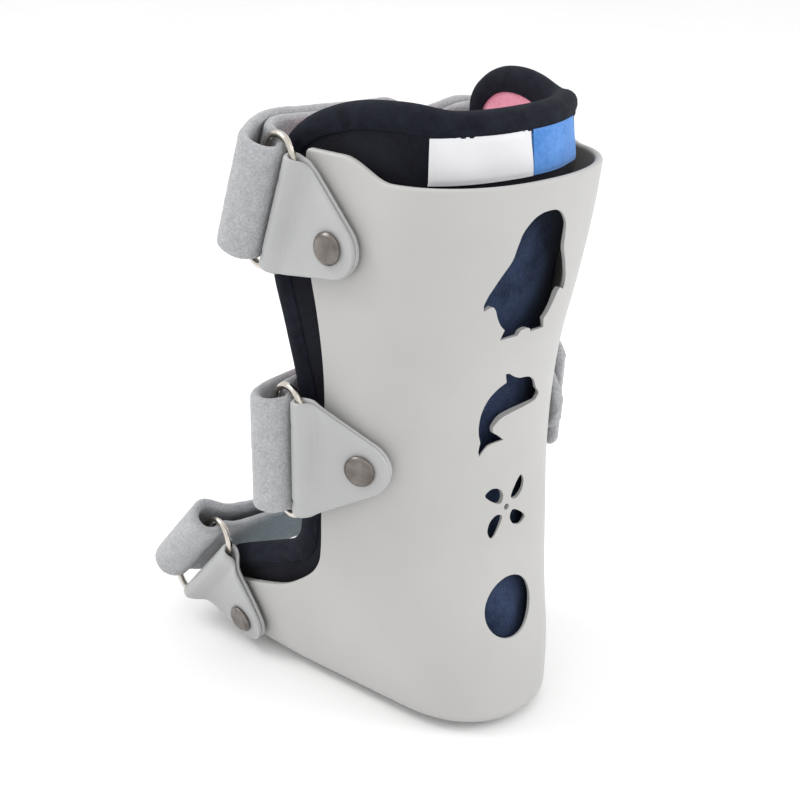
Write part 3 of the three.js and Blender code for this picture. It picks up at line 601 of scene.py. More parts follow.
NAVY_DARK, NAVY_LIGHT = (0.006, 0.007, 0.013), (0.014, 0.016, 0.027)
looks = {
    "shell": moulded_plastic(),
    "sole": rubber(),
    "padding": padding_felt_painted_shade(),
    "navy_tape": ribbed_tape("navy_tape", NAVY_DARK, NAVY_LIGHT),
    "pink_fleece": napped("pink_fleece", (0.86, 0.30, 0.42), (0.95, 0.46, 0.57), 600, 0.3),
    "pale_blue_fleece": napped(
        "pale_fleece", (0.68, 0.84, 0.90), (0.84, 0.93, 0.96), 600, 0.3),
    "white_cloth": satin_cloth(),
    "blue_felt": napped("blue_felt", (0.06, 0.21, 0.56), (0.12, 0.31, 0.72), 700, 0.2),
    "vinyl": vinyl(),
    "nickel": metal("nickel", (0.56, 0.52, 0.46), (0.70, 0.66, 0.60), 0.12, 0.26, 0.1),
    "gunmetal": metal("gunmetal", (0.13, 0.115, 0.105), (0.27, 0.245, 0.23), 0.22, 0.5, 0.35),
    "brushed_loop": brushed_loop(),
}


def dress(obj, slot, *nodes):
    obj.data.materials.clear()
    obj.data.materials.append(looks[slot])
    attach(obj, "root")
    if nodes:
        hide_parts(*nodes)
    return obj


# Shell
SHELL_COLUMNS = 150
SHELL_ROWS = 110
LIP = 1.15
CUT_LIP = 0.5
POCKET_MARGIN = 2.2
CORNER = 2.5


def rounding(count):
    angles = np.linspace(0, math.pi / 2, count + 1)
    return [(math.sin(a), 1 - math.cos(a)) for a in angles]


# One face of the shell, with its front edges and its rim rounded over.
def shell_face(depth, sign):
    rim = SHELL_BASE + SHELL_HEIGHT
    base = SHELL_BASE + depth
    radius = EDGE_RADIUS - depth
    rows = []
    for a in np.linspace(0, math.pi / 2, 8)[:-1]:
        rows.append((base + radius * (1 - math.cos(a)), depth + radius * (1 - math.sin(a)), 0))
    for height in np.linspace(base + radius, rim - LIP, SHELL_ROWS):
        rows.append((height, depth, 0))
    for rise, turn in rounding(6)[1:]:
        rows.append((rim - LIP + LIP * rise, depth, turn))
    columns = [(-1.0, LIP * (1 - rise), turn) for rise, turn in reversed(rounding(6)[1:])]
    columns += [(u, LIP, 0) for u in np.linspace(-1, 1, SHELL_COLUMNS + 1)]
    columns += [(1.0, LIP * (1 - rise), turn) for rise, turn in rounding(6)[1:]]
    heights, insets, turns = (np.array(x)[:, None] for x in zip(*rows))
    u, pull, bend = (np.array(x)[None, :] for x in zip(*columns))
    near_rim = np.clip((heights - (rim - CORNER)) / CORNER, 0, 1)
    corner = CORNER * (1 - np.sqrt(1 - near_rim**2))
    inset = insets + sign * LIP * np.maximum(turns, bend)
    points = wall_point(u, heights, shell_reach(heights) - pull - corner, inset)
    wing = smoothstep(points[..., 0], -0.22 * HEEL_REACH, 0.44 * HEEL_REACH)
    points[..., 2] += RIM_RISE * wing * smoothstep(points[..., 2], 0.8 * rim, rim)
    return points


# Points of a smooth stretch through knots, as a planar Catmull-Rom curve.
def spline(knots, steps):
    knots = np.array(knots, float)
    last = len(knots) - 1
    out = []
    for k in range(last):
        p = [knots[max(k - 1, 0)], knots[k], knots[k + 1], knots[min(k + 2, last)]]
        v0, v1 = (p[2] - p[0]) / 2, (p[3] - p[1]) / 2
        for step in range(1, steps + 1):
            t = step / steps
            out.append(
                (2 * p[1] - 2 * p[2] + v0 + v1) * t**3
                + (3 * p[2] - 3 * p[1] - 2 * v0 - v1) * t**2 + v0 * t + p[1])
    return out


def traced(stretches, size, steps=5):
    points = [np.array(stretches[0], float)]
    for stretch in stretches[1:]:
        knots = [stretch] if isinstance(stretch[0], (int, float)) else stretch
        points += spline([points[-1], *knots], steps if len(knots) > 1 else 1)
    return np.array(points) * size


def penguin_outline():
    near = traced(PENGUIN_HALF, PENGUIN_HEIGHT)
    far = near[1:-1] * [-FAR_SHARE, 1]
    return np.vstack([near, far[::-1]])


def turned(points, angle):
    c, s = math.cos(angle), math.sin(angle)
    return np.asarray(points) @ np.array([[c, s], [-s, c]])


def blade_outline(turn):
    corners = np.array(PINWHEEL_BLADE) * PINWHEEL_RADIUS
    closed = np.vstack([corners[-1:], corners, corners[:2]])
    loop = spline(closed, 8)[8:-8]
    return turned(loop, turn)


def circle_outline(radius, count):
    angles = np.linspace(0, 2 * math.pi, count, endpoint=False)
    return np.stack([radius * np.cos(angles), radius * np.sin(angles)], -1)


# Forward place of the shell's outer face at a sideways place and a height.
def back_reach(y, height):
    back = float(section_at(height)[0])
    reach = back + np.linspace(0, 1, 200) ** 2 * CALF_HALF_WIDTH
    return np.interp(abs(y), half_width(reach, height), reach)


def back_cutter(outline, height, depth=None):
    flat = np.asarray(outline)
    turn = np.cross(flat, np.roll(flat, -1, axis=0)).sum()
    if turn < 0:
        flat = flat[::-1]
    count = len(flat)
    base = SHELL_BASE + height
    start = np.full(count, -60.0)
    if depth is not None:
        start = np.array([back_reach(y, base + z) for y, z in flat]) + depth
    points = [
        np.column_stack([x, flat[:, 0], flat[:, 1] + base]) for x in (start, np.zeros(count))]
    faces = [[0, k + 1, k] for k in range(1, count - 1)] + [list(range(count, 2 * count))]
    for k in range(count):
        after = (k + 1) % count
        faces += [[k, after, after + count], [k, after + count, k + count]]
    return mesh_object("cutter", np.vstack(points), faces, smooth=False)


# The convex outline round some points, widened by a margin.
def hull_outline(points, margin, count=64):
    points = np.asarray(points)
    middle = (points.min(axis=0) + points.max(axis=0)) / 2
    ways = circle_outline(1, count)
    reach = ((points - middle) @ ways.T).max(axis=0) + margin
    after = np.roll(reach, -1)
    step = 2 * math.pi / count
    slide = (after - reach * math.cos(step)) / math.sin(step)
    across = np.stack([-ways[:, 1], ways[:, 0]], -1)
    return middle + ways * reach[:, None] + across * slide[:, None]


def cut(obj, cutters):
    for cutter in cutters:
        step = obj.modifiers.new("cut", "BOOLEAN")
        step.operation = "DIFFERENCE"
        step.solver = "EXACT"
        step.object = cutter
    apply_modifiers(obj)
    for cutter in cutters:
        mesh = cutter.data
        bpy.data.objects.remove(cutter)
        bpy.data.meshes.remove(mesh)


def build_shell():
    points, faces, texture = closed_wall(
        shell_face(0, 1), shell_face(SHELL_WALL, -1), True, 40)
    shell = mesh_object("moulded_shell", points, faces, texture)
    blades = [blade_outline(k * math.pi / 2) for k in range(4)]
    hub = circle_outline(0.1 * PINWHEEL_RADIUS, 24)
    openings = [
        ([penguin_outline()], PENGUIN_FEET), ([traced(DOLPHIN, DOLPHIN_SIZE)], DOLPHIN_MIDDLE),
        ([circle_outline(HEEL_HOLE_RADIUS, 72)], HEEL_HOLE_MIDDLE),
        ([hub, *blades], PINWHEEL_MIDDLE)]
    cutters = []
    for outlines, height in openings:
        pocket = hull_outline(np.vstack(outlines), POCKET_MARGIN)
        cutters.append(back_cutter(pocket, height, CUT_LIP))
        cutters += [back_cutter(outline, height) for outline in outlines]
    cut(shell, cutters)
    sharpen(shell, 40)
    return dress(shell, "shell", "shell")


# Sole
def build_sole():
    u = np.linspace(-1, 1, 97)
    rows = []
    for height, inset in ((0.0, 0.5), (0.15, 0.15), (0.5, 0), (SOLE_THICKNESS + 0.25, 0)):
        wall = wall_point(u, SHELL_BASE, FOOT_REACH, EDGE_RADIUS + SOLE_INSET + inset)
        ring = np.vstack([wall, toe_arc(wall[-1], 30)])
        ring[:, 2] = height
        rows.append(ring)
    count = len(rows[0])
    faces = grid_faces(len(rows), count, wrap_columns=True)
    faces.append(list(range(count))[::-1])
    faces.append([k + (len(rows) - 1) * count for k in range(count)])
    sole = mesh_object("sole_pad", np.vstack(rows), faces)
    sharpen(sole, 35)
    return dress(sole, "sole", "sole")


# Padding
def liner_inset(u, height, inset):
    rise = smoothstep(height, 0.5 * SHELL_HEIGHT, SHELL_HEIGHT)
    lean = TOP_LEAN * smoothstep(height, SHELL_HEIGHT, LINER_HEIGHT)
    behind = 1 - smoothstep(np.abs(u), 0.25, 0.8)
    return inset + lean + CALF_GAP * rise * behind


def liner_point(u, row, inset):
    u, row, inset = np.broadcast_arrays(*(np.asarray(x, float) for x in (u, row, inset)))
    full = SHELL_BASE + LINER_HEIGHT
    level = SHELL_BASE + row * LINER_HEIGHT
    back = section_at(level)[0]
    reach = back + (liner_reach(level) - back) * np.abs(u) ** WALL_SPREAD
    far, near = (table(reach / FOOT_REACH)[..., 0] for table in liner_top_tables)
    side = smoothstep(u, -0.3, 0.3)
    top = SHELL_BASE + LINER_HEIGHT * (far + (near - far) * side)
    height = level + (top - full) * smoothstep(row, 0.45, 1)
    return wall_point(u, height, liner_reach(height), liner_inset(u, height, inset))


LINER_COLUMNS = 120
LINER_ROWS = 100
SEAM = 0.53


def layer_grid(depth, low=0.0, high=1.0, count=LINER_ROWS, wave=0.0):
    inset = SHELL_WALL + LINER_GAP + depth
    base = SHELL_BASE + SHELL_WALL + CLEARANCE + depth
    u = np.linspace(-1, 1, LINER_COLUMNS + 1)[None, :]
    first = 0.06 if low == 0 else low
    rows = np.linspace(first, high, count)[:, None]
    ripple = 0
    if wave:
        turn = 9 * u + 5 * np.sin(7 * rows)
        ripple = wave * np.sin(turn) * np.sin(17 * rows + 3 * u)
    walls = liner_point(u, rows, inset + ripple)
    if low > 0:
        return walls
    radius = max(EDGE_RADIUS - SHELL_WALL - depth / 2, 1)
    foot = []
    for a in np.linspace(0, math.pi / 2, 6):
        height = base + radius * (1 - math.cos(a))
        foot.append(wall_point(
            u[0], height, liner_reach(height), inset + radius * (1 - math.sin(a))))
    return np.vstack([np.array(foot), walls])


def build_padding():
    depth = LINER_WALL + 0.1
    full = LINER_WALL + CLEARANCE + LINING_WALL
    points, faces, texture = closed_wall(
        layer_grid(0, wave=0.25), layer_grid(LINER_WALL), True, 30)
    liner = mesh_object("padded_liner", points, faces, texture)
    sharpen(liner, 50)
    dress(liner, "padding", "liner")
    points, faces, texture = closed_wall(
        layer_grid(depth, high=SEAM), layer_grid(full, high=SEAM, wave=0.2), True, 30)
    lower = mesh_object("lower_lining", points, faces, texture)
    sharpen(lower, 50)
    dress(lower, "pale_blue_fleece", "lining_lower")
    inner = layer_grid(full, low=SEAM + 0.003, count=60, wave=0.2)
    points, faces, texture = closed_wall(
        layer_grid(depth, low=SEAM + 0.003, count=60), inner, False)
    upper = mesh_object("upper_lining", points, faces, texture)
    sharpen(upper, 50)
    dress(upper, "pink_fleece", "lining_upper")


# Binding: a soft roll round the liner's edge. Columns: distance over the edge, half thickness
BINDING = [
    [-6.3, 2.85], [-6.2, 3.25], [-5.7, 3.5], [-5.1, 3.45], [-4.7, 3.5], [-4.0, 3.85],
    [-2.6, 4.15], [-1.0, 4.0], [0.3, 3.4], [1.2, 2.4], [1.75, 1.2], [1.95, 0.0],
]

SEAM_DEPTH, SEAM_RISE = 5.1, 3.5
STITCH_LENGTH, STITCH_RADIUS = 1.7, 0.3


def binding_path():
    half = (LINER_WALL + CLEARANCE + LINING_WALL) / 2
    inset = SHELL_WALL + LINER_GAP + half
    heights = np.linspace(0.12, 1, 150)
    u = np.linspace(1, -1, 181)[1:-1]
    up = liner_point(1, heights, inset)
    over = liner_point(u, 1.0, inset)
    down = liner_point(-1, heights, inset)[::-1]
    behind_up = liner_point(0.97, heights, inset)
    behind_over = liner_point(u, 0.985, inset)
    behind_down = liner_point(-0.97, heights, inset)[::-1]
    path = np.vstack([up, over, down])
    behind = np.vstack([behind_up, behind_over, behind_down])
    return path, behind


def resampled(path, other, step):
    length = np.concatenate([[0], np.cumsum(np.linalg.norm(np.diff(path, axis=0), axis=1))])
    count = int(length[-1] / step)
    places = np.linspace(0, length[-1], count + 1)

    def read(rows):
        return np.stack([np.interp(places, length, rows[:, k]) for k in range(3)], -1)

    return read(path), read(other), places


def smoothed(rows, times):
    rows = rows.copy()
    for _ in range(times):
        rows[1:-1] = 0.25 * rows[:-2] + 0.5 * rows[1:-1] + 0.25 * rows[2:]
    return rows


def unit(rows):
    return rows / np.linalg.norm(rows, axis=-1, keepdims=True)


def binding_frames():
    path, behind = binding_path()
    ahead = path - behind
    path, ahead, places = resampled(path, ahead, 1.2)
    path = smoothed(path, 12)
    along = unit(np.gradient(path, axis=0))
    outward = unit(smoothed(unit(ahead), 14))
    outward = unit(outward - along * (outward * along).sum(-1, keepdims=True))
    through = np.cross(along, outward)
    return path, along, outward, through, places


def build_binding():
    path, along, outward, through, places = binding_frames()
    table = np.array(BINDING)
    outer = np.vstack([table, table[-2::-1] * [1, -1]])
    back = np.array([
        [-6.0, -2.72], [-3, -2.7], [-0.2, -2.7], [-0.2, 2.7], [-3, 2.7], [-6.0, 2.72]])
    section = np.vstack([outer, back])
    grid = (
        path[:, None] + outward[:, None] * section[None, :, :1]
        + through[:, None] * section[None, :, 1:])
    round_it = np.concatenate(
        [[0], np.cumsum(np.linalg.norm(np.diff(section, axis=0), axis=1))])
    uu, vv = np.meshgrid(round_it, places)
    texture = np.stack([uu, vv], -1).reshape(-1, 2) * MM
    rows, columns = grid.shape[:2]
    faces = grid_faces(rows, columns, wrap_columns=True)
    faces.append(list(range(columns)))
    faces.append([(rows - 1) * columns + k for k in range(columns)][::-1])
    binding = mesh_object("edge_tape", grid.reshape(-1, 3), faces, texture)
    bmesh_fix(binding)
    sharpen(binding, 60)
    dress(binding, "navy_tape", "liner_binding")
    return path, along, outward, through


# Two rows of stitches in the tape's groove, one on each face.
def build_binding_seams(path, along, outward, through):
    every = slice(3, -3, 2)
    for name, side in (("outer_stitches", 1), ("inner_stitches", -1)):
        line = path - SEAM_DEPTH * outward + side * SEAM_RISE * through
        stitches(
            name, "navy_tape", line[every], along[every], side * through[every],
            STITCH_LENGTH, STITCH_RADIUS)


def bmesh_fix(obj):
    mesh = bmesh.new()
    mesh.from_mesh(obj.data)
    bmesh.ops.recalc_face_normals(mesh, faces=mesh.faces)
    mesh.to_mesh(obj.data)
    mesh.free()


# Stitches as short capsules sunk in the cloth.
def stitches(name, slot, places, along, normal, length, radius):
    sides, rings = 6, [(-1, 0.0), (-0.8, 0.7), (0, 1.0), (0.8, 0.7), (1, 0.0)]
    points, faces = [], []
    for p, a, n in zip(places, along, normal):
        across = np.cross(a, n)
        start = len(points)
        for where, size in rings:
            for k in range(sides):
                turn = 2 * math.pi * k / sides
                lift = math.cos(turn) * 0.6 * n + math.sin(turn) * across
                points.append(p + a * where * length / 2 + lift * radius * max(size, 0.15))
        faces += grid_faces(len(rings), sides, start, wrap_columns=True)
    obj = mesh_object(name, np.array(points), faces)
    bmesh_fix(obj)
    return dress(obj, slot)


# Label and side panel, thin cloth with a soft crown.
def build_patch(name, slot, node, from_u, to_u, crown, wavy):
    low, high = SHELL_HEIGHT - PATCH_TUCK, SHELL_HEIGHT + PATCH_RISE
    columns, rows = 60, 30
    s = np.linspace(0, 1, columns)[None, :]
    t = np.linspace(0, 1, rows)[:, None]
    u = from_u + (to_u - from_u) * s
    edge = np.minimum(np.minimum(s, 1 - s) * columns / 5, np.minimum(t, 1 - t) * rows / 4)
    puff = crown * smoothstep(edge, 0, 1) + wavy * np.sin(9 * s + 2) * np.sin(4 * t + 1)
    grids = []
    for lift in (0.35 + PATCH_WALL, 0.1):
        height = SHELL_BASE + low + (high - low) * t + 0 * s
        depth = SHELL_WALL + LINER_GAP - lift - (puff if lift > 0.3 else 0 * puff)
        grids.append(wall_point(
            u, height, liner_reach(height), liner_inset(u, height, depth)))
    points, faces, texture = closed_wall(grids[0], grids[1], False)
    patch = mesh_object(name, points, faces, texture)
    sharpen(patch, 50)
    dress(patch, slot, node)
    return patch


# Closures
def right_frame(x, y, place):
    rows = np.eye(4)
    rows[:3, 0], rows[:3, 1], rows[:3, 2], rows[:3, 3] = x, y, np.cross(x, y), place
    return rows


def moved(rows, points):
    return np.asarray(points) @ rows[:3, :3].T + rows[:3, 3]


def closure_frames(closure, side):
    reach, level = closure["reach"], SHELL_BASE + closure["height"]

    def on_wall(x, z):
        return np.array([x, side * float(half_width(x, z)), z])

    step = 0.5
    along_reach = on_wall(reach + step, level) - on_wall(reach - step, level)
    along_height = on_wall(reach, level + step) - on_wall(reach, level - step)
    normal = unit(np.cross(along_height, along_reach) * side)
    lean = math.radians(closure["tilt"])
    bar = np.array([-math.sin(lean), 0, math.cos(lean)])
    outward = unit(normal - bar * normal.dot(bar))
    forward = np.cross(outward, bar) * side
    flush = unit(forward - normal * forward.dot(normal))
    point = on_wall(reach, level)
    return dict(
        frame=right_frame(forward, outward, point), seat=right_frame(flush, normal, point),
        forward=forward, side=side)


def wall_rise(place, x, z):
    x, z = np.broadcast_arrays(np.asarray(x, float), np.asarray(z, float))
    points = moved(place["frame"], np.stack([x, 0 * x, z], -1))
    outward = place["frame"][:3, 1]
    wall = half_width(points[..., 0], points[..., 2])
    return (wall - place["side"] * points[..., 1]) * abs(outward[1])


SHOULDER = 0.84 * TAB_REACH
BORE_RADIUS = RING_WIRE / 2 + RING_PLAY
FOLD_RADIUS = BORE_RADIUS + TAB_WALL


# Half width of a tab or a strap's end at a distance ahead of its rivet.
def tapered_half(x, half):
    tangent = math.atan2(half, SHOULDER) + math.acos(TAB_END / math.hypot(SHOULDER, half))
    tx, ty = TAB_END * math.cos(tangent), TAB_END * math.sin(tangent)
    slope = np.interp(x, [tx, SHOULDER], [ty, half])
    arc = np.sqrt(np.maximum(TAB_END**2 - np.minimum(x, tx) ** 2, 0))
    return np.where(x < tx, arc, slope)


# A band with soft edges. half gives its half width at each station, thick its half thickness.
def ribbon(name, middle, normal, bar, half, thick, softness=0.5, lanes=28, lift=None):
    stations = len(middle)
    edge = np.linspace(-1, 1, lanes + 1)
    turn = np.sin(edge * math.pi / 2)
    lane = 0.45 * turn + 0.55 * edge
    sections = []
    for sign in (1, -1):
        room = half[:, None] * np.abs(lane)[None, :]
        from_edge = half[:, None] - room
        bulge = np.clip(1 - from_edge / softness, 0, 1)
        height = thick[:, None] * np.sqrt(1 - 0.96 * bulge**2)
        sections.append(sign * height)
    across = half[:, None] * lane[None, :]
    if lift is not None:
        sections[0] = sections[0] + lift(across)
    top = middle[:, None] + bar * across[..., None] + normal[:, None] * sections[0][..., None]
    bottom = middle[:, None] + bar * across[..., None] + normal[:, None] * sections[1][..., None]
    points = np.concatenate([top, bottom[:, ::-1]], axis=1)
    length = np.concatenate([[0], np.cumsum(np.linalg.norm(np.diff(middle, axis=0), axis=1))])
    spots = np.concatenate([across, across[:, ::-1]], axis=1)
    vv = np.broadcast_to(length[:, None], spots.shape)
    texture = np.stack([spots, vv], -1).reshape(-1, 2) * MM
    count = points.shape[1]
    faces = grid_faces(stations, count, wrap_columns=True)
    faces.append(list(range(count)))
    faces.append([(stations - 1) * count + k for k in range(count)][::-1])
    return points, faces, texture


def build_tab(level, near):
    turn = 0.53 * math.pi
    half_wall = TAB_WALL / 2
    ends = TAB_END * np.cos(np.linspace(math.pi, math.pi / 2, 14))
    low = [(x, half_wall) for x in ends]
    low += [(x, half_wall) for x in np.linspace(0, TAB_REACH, 18)[1:]]
    angles = np.linspace(-math.pi / 2, turn, 26)[1:]
    radius = FOLD_RADIUS - half_wall
    fold = [(TAB_REACH + radius * math.cos(a), FOLD_RADIUS + radius * math.sin(a)) for a in angles]
    top = 3 * half_wall + 0.12
    start = fold[-1]
    shares = np.linspace(0, 1, 24)[1:] ** 1.5
    rise = start[1] - top
    back = [
        (start[0] + (0 - start[0]) * s, top + rise * (1 - float(smoothstep(s, 0, 0.25))))
        for s in shares]
    back += [(x, top) for x in ends[::-1][1:]]
    path = np.array(low + fold + back)
    middle = np.column_stack([path, np.zeros(len(path))])
    slope = unit(np.gradient(path, axis=0))
    normal = np.column_stack([slope[:, 1], -slope[:, 0], np.zeros(len(path))])
    half = tapered_half(path[:, 0], TAB_LENGTH / 2)
    half = np.maximum(half, 0.25)
    thick = np.full(len(path), half_wall)

    def step_lines(across):
        from_end = TAB_LENGTH / 2 - np.abs(across)
        line = np.exp(-((from_end - np.where(across > 0, 8.5, 5)) / 0.35) ** 2)
        ahead = smoothstep(path[:, 0], SHOULDER + 0.5, SHOULDER + 1.5)
        return -0.45 * line * ahead[:, None]

    points, faces, texture = ribbon(
        level, middle, normal, np.array([0, 0, 1.0]), half, thick, 0.75, 30, step_lines)
    flat = points.reshape(-1, 3)
    held = 1 - smoothstep(flat[:, 0], 0.6 * TAB_REACH, TAB_REACH)
    rise = np.maximum(
        wall_rise(near, flat[:, 0], flat[:, 2]), wall_rise(near, 0, flat[:, 2]))
    flat[:, 1] += TAB_STANDOFF + held * rise
    tab = mesh_object(f"vinyl_tab_{level}", moved(near["frame"], flat), faces, texture)
    bmesh_fix(tab)
    sharpen(tab, 60)
    return dress(tab, "vinyl", f"tab_{level}")


def build_ring(level, place):
    middle, half = RING_SPAN / 2, (RING_LENGTH + RING_WIRE) / 2
    steps, sides = 10, 18
    route = []
    for corner, (x, z) in enumerate(((1, 1), (-1, 1), (-1, -1), (1, -1))):
        for k in range(steps + 1):
            angle = (corner + k / steps) * math.pi / 2
            route.append((
                middle + x * (middle - RING_CORNER) + RING_CORNER * math.cos(angle),
                z * (half - RING_CORNER) + RING_CORNER * math.sin(angle)))
    route = np.array(route)
    along = unit(np.roll(route, -1, axis=0) - np.roll(route, 1, axis=0))
    points = []
    for (x, z), (ax, az) in zip(route, along):
        for k in range(sides):
            angle = 2 * math.pi * k / sides
            out = RING_WIRE / 2 * math.cos(angle)
            points.append((x + az * out, RING_WIRE / 2 * math.sin(angle), z - ax * out))
    faces = grid_faces(len(route), sides, wrap_rows=True, wrap_columns=True)
    ring = mesh_object(f"wire_ring_{level}", moved(place, points), faces)
    bmesh_fix(ring)
    return dress(ring, "nickel", f"ring_{level}")


# Columns: radius and height over the head's underside, as shares of the head's size
RIVET = [
    [0.0, 0.93], [0.30, 0.94], [0.60, 0.95], [0.66, 0.97], [0.70, 1.0], [0.75, 1.0],
    [0.80, 0.94], [0.90, 0.72], [0.97, 0.48], [1.0, 0.34], [1.0, 0.10], [0.97, 0.0],
]


def build_rivet(name, node, seat, height):
    tail = -(SHELL_WALL + 2 * CLEARANCE)
    profile = [(r * RIVET_HEAD, height + h * RIVET_RISE) for r, h in RIVET]
    profile += [
        (RIVET_SHANK, height), (RIVET_SHANK, tail), (0.72 * RIVET_HEAD, tail),
        (0.75 * RIVET_HEAD, tail - RIVET_TAIL / 2), (0.7 * RIVET_HEAD, tail - RIVET_TAIL),
        (0, tail - RIVET_TAIL)]
    sides = 48
    points = [
        (r * math.cos(2 * math.pi * k / sides), h, r * math.sin(2 * math.pi * k / sides))
        for r, h in profile for k in range(sides)]
    faces = grid_faces(len(profile), sides, wrap_columns=True)
    rivet = mesh_object(name, moved(seat, points), faces)
    mesh = bmesh.new()
    mesh.from_mesh(rivet.data)
    bmesh.ops.remove_doubles(mesh, verts=mesh.verts, dist=1e-6)
    bmesh.ops.recalc_face_normals(mesh, faces=mesh.faces)
    mesh.to_mesh(rivet.data)
    mesh.free()
    sharpen(rivet, 45)
    return dress(rivet, "gunmetal", node)


# Points on a centripetal Catmull-Rom curve through knots.
def flowing(knots, steps):
    knots = np.asarray(knots, float)
    padded = np.vstack([2 * knots[0] - knots[1], knots, 2 * knots[-1] - knots[-2]])
    out = [knots[0]]
    for k in range(len(knots) - 1):
        p = padded[k:k + 4]
        gaps = [max(np.linalg.norm(p[j + 1] - p[j]) ** 0.5, 1e-4) for j in range(3)]
        a = ((p[1] - p[0]) / gaps[0] - (p[2] - p[0]) / (gaps[0] + gaps[1])
             + (p[2] - p[1]) / gaps[1]) * gaps[1]
        b = ((p[2] - p[1]) / gaps[1] - (p[3] - p[1]) / (gaps[1] + gaps[2])
             + (p[3] - p[2]) / gaps[2]) * gaps[1]
        for step in range(1, steps + 1):
            t = step / steps
            out.append(
                (2 * t**3 - 3 * t**2 + 1) * p[1] + (t**3 - 2 * t**2 + t) * a
                + (3 * t**2 - 2 * t**3) * p[2] + (t**3 - t**2) * b)
    return np.array(out)


def strap_route(closure, far, band, bar, across):
    tilt = float(wall_rise(far, 0, -across))
    stand = TAB_STANDOFF + STRAP_WALL / 2
    layer = STRAP_WALL + STRAP_GAP

    def on_wall(along, height, share):
        point = moved(far["frame"], [along, height + share * tilt, 0])
        return np.array([(point - band[:3, 3]).dot(band[:3, 0]), point[1]])

    start = [
        on_wall(-TAB_END, stand, 1), on_wall(0.1 * TAB_REACH, stand, 1),
        on_wall(0.8 * TAB_REACH, stand, 0.5)]
    front = [
        np.array([bar[0] + ahead * RING_SPAN, side * bar[1]])
        for side, ahead in closure["front"]]
    tight = RING_WIRE / 2 + CLEARANCE + STRAP_WALL / 2
    loop = []
    for angle, slack in closure["loop"]:
        a = math.radians(angle)
        loop.append(bar + (tight + slack * STRAP_WALL) * np.array([math.cos(a), math.sin(a)]))
    inner = start + front
    back = []
    for k, point in enumerate(front):
        before = inner[k + len(start) - 1]
        at = k + len(start) + 1
        after = inner[at] if at < len(inner) else 2 * point - before
        along = unit(after - before)
        spread = closure["opening"] * float(smoothstep(point[1], 0, bar[1])) * STRAP_WALL
        back.append(point + np.array([along[1], -along[0]]) * (layer + spread))
    end = [
        on_wall(0.8 * TAB_REACH, stand + layer, 0.5),
        on_wall(closure["free_end"] * TAB_REACH, stand + layer, 1)]
    return flowing([*inner, *loop, *back[::-1], *end], 10)


STRAP_LANES = 44
STRAP_CORNER = 7.0
STRAP_SOFTNESS = 1.9
STRAP_STEP = 1.1
STRAP_FUZZ = 0.16
ANCHOR_POCKET = 2.15


def build_strap(level, closure, far, band, bar):
    rng = np.random.default_rng(SEED + len(level))
    edges = [
        strap_route(closure, far, band, bar, side * STRAP_WIDTH / 2) for side in (-1, 1)]
    length = np.concatenate([
        [0], np.cumsum(np.linalg.norm(np.diff((edges[0] + edges[1]) / 2, axis=0), axis=1))])
    places = np.linspace(0, length[-1], int(length[-1] / STRAP_STEP) + 1)
    low, high = (
        np.stack([np.interp(places, length, edge[:, k]) for k in range(2)], -1)
        for edge in edges)
    stations = len(places)
    from_anchor = places - TAB_END
    half = tapered_half(np.minimum(from_anchor, SHOULDER + 1), STRAP_WIDTH / 2)
    to_end = places[-1] - places
    tail = np.clip(1 - to_end / STRAP_CORNER, 0, 1)
    half = np.maximum(half - STRAP_CORNER * (1 - np.sqrt(1 - tail**2)), 0.3)
    edge = np.linspace(-1, 1, STRAP_LANES + 1)
    lane = 0.35 * np.sin(edge * math.pi / 2) + 0.65 * edge
    across = half[:, None] * lane[None, :]
    share = (across / STRAP_WIDTH + 0.5)[..., None]
    middle = low[:, None] * (1 - share) + high[:, None] * share
    along = unit(np.gradient(middle, axis=0))
    normal = np.stack([along[..., 1], -along[..., 0]], -1)
    bulge = np.clip(1 - (half[:, None] - np.abs(across)) / STRAP_SOFTNESS, 0, 1)
    ends = np.clip(1 - np.minimum(places, to_end) / STRAP_SOFTNESS, 0, 1)[:, None]
    bulge = np.maximum(bulge, ends)
    thick = STRAP_WALL / 2 * np.sqrt(np.maximum(1 - 0.95 * bulge**2, 0.02))
    seat = np.hypot(from_anchor[:, None], across)
    pocket = ANCHOR_POCKET * (1 - smoothstep(seat, RIVET_HEAD + 0.2, RIVET_HEAD + 1.6))
    pocket = pocket * (from_anchor[:, None] < 2 * TAB_END)
    ruffle = rng.normal(0, 1, thick.shape)
    for axis in (0, 1):
        ruffle = (np.roll(ruffle, 1, axis) + ruffle + np.roll(ruffle, -1, axis)) / 3
    sides = []
    for sign, drop in ((1, pocket), (-1, 0 * pocket)):
        fuzz = STRAP_FUZZ * np.roll(ruffle, 5 * int(sign), axis=0)
        height = sign * (thick - drop + fuzz)
        plane = middle + normal * height[..., None]
        ahead = smoothstep(plane[..., 0], 0.05 * bar[0], 0.9 * bar[0])
        sag = closure.get("sag", 0) * ahead * smoothstep(-plane[..., 1], 0, 22)
        sides.append(np.stack([plane[..., 0], plane[..., 1], across - sag], -1))
    points = np.concatenate([sides[0], sides[1][:, ::-1]], axis=1)
    spots = np.concatenate([across, across[:, ::-1]], axis=1)
    vv = np.broadcast_to(places[:, None], spots.shape)
    texture = np.stack([spots, vv], -1).reshape(-1, 2) * MM
    count = points.shape[1]
    faces = grid_faces(stations, count, wrap_columns=True)
    faces.append(list(range(count)))
    faces.append([(stations - 1) * count + k for k in range(count)][::-1])
    strap = mesh_object(
        f"brushed_strap_{level}", moved(band, points.reshape(-1, 3)), faces, texture)
    bmesh_fix(strap)
    dress(strap, "brushed_loop", f"strap_{level}")
    return strap


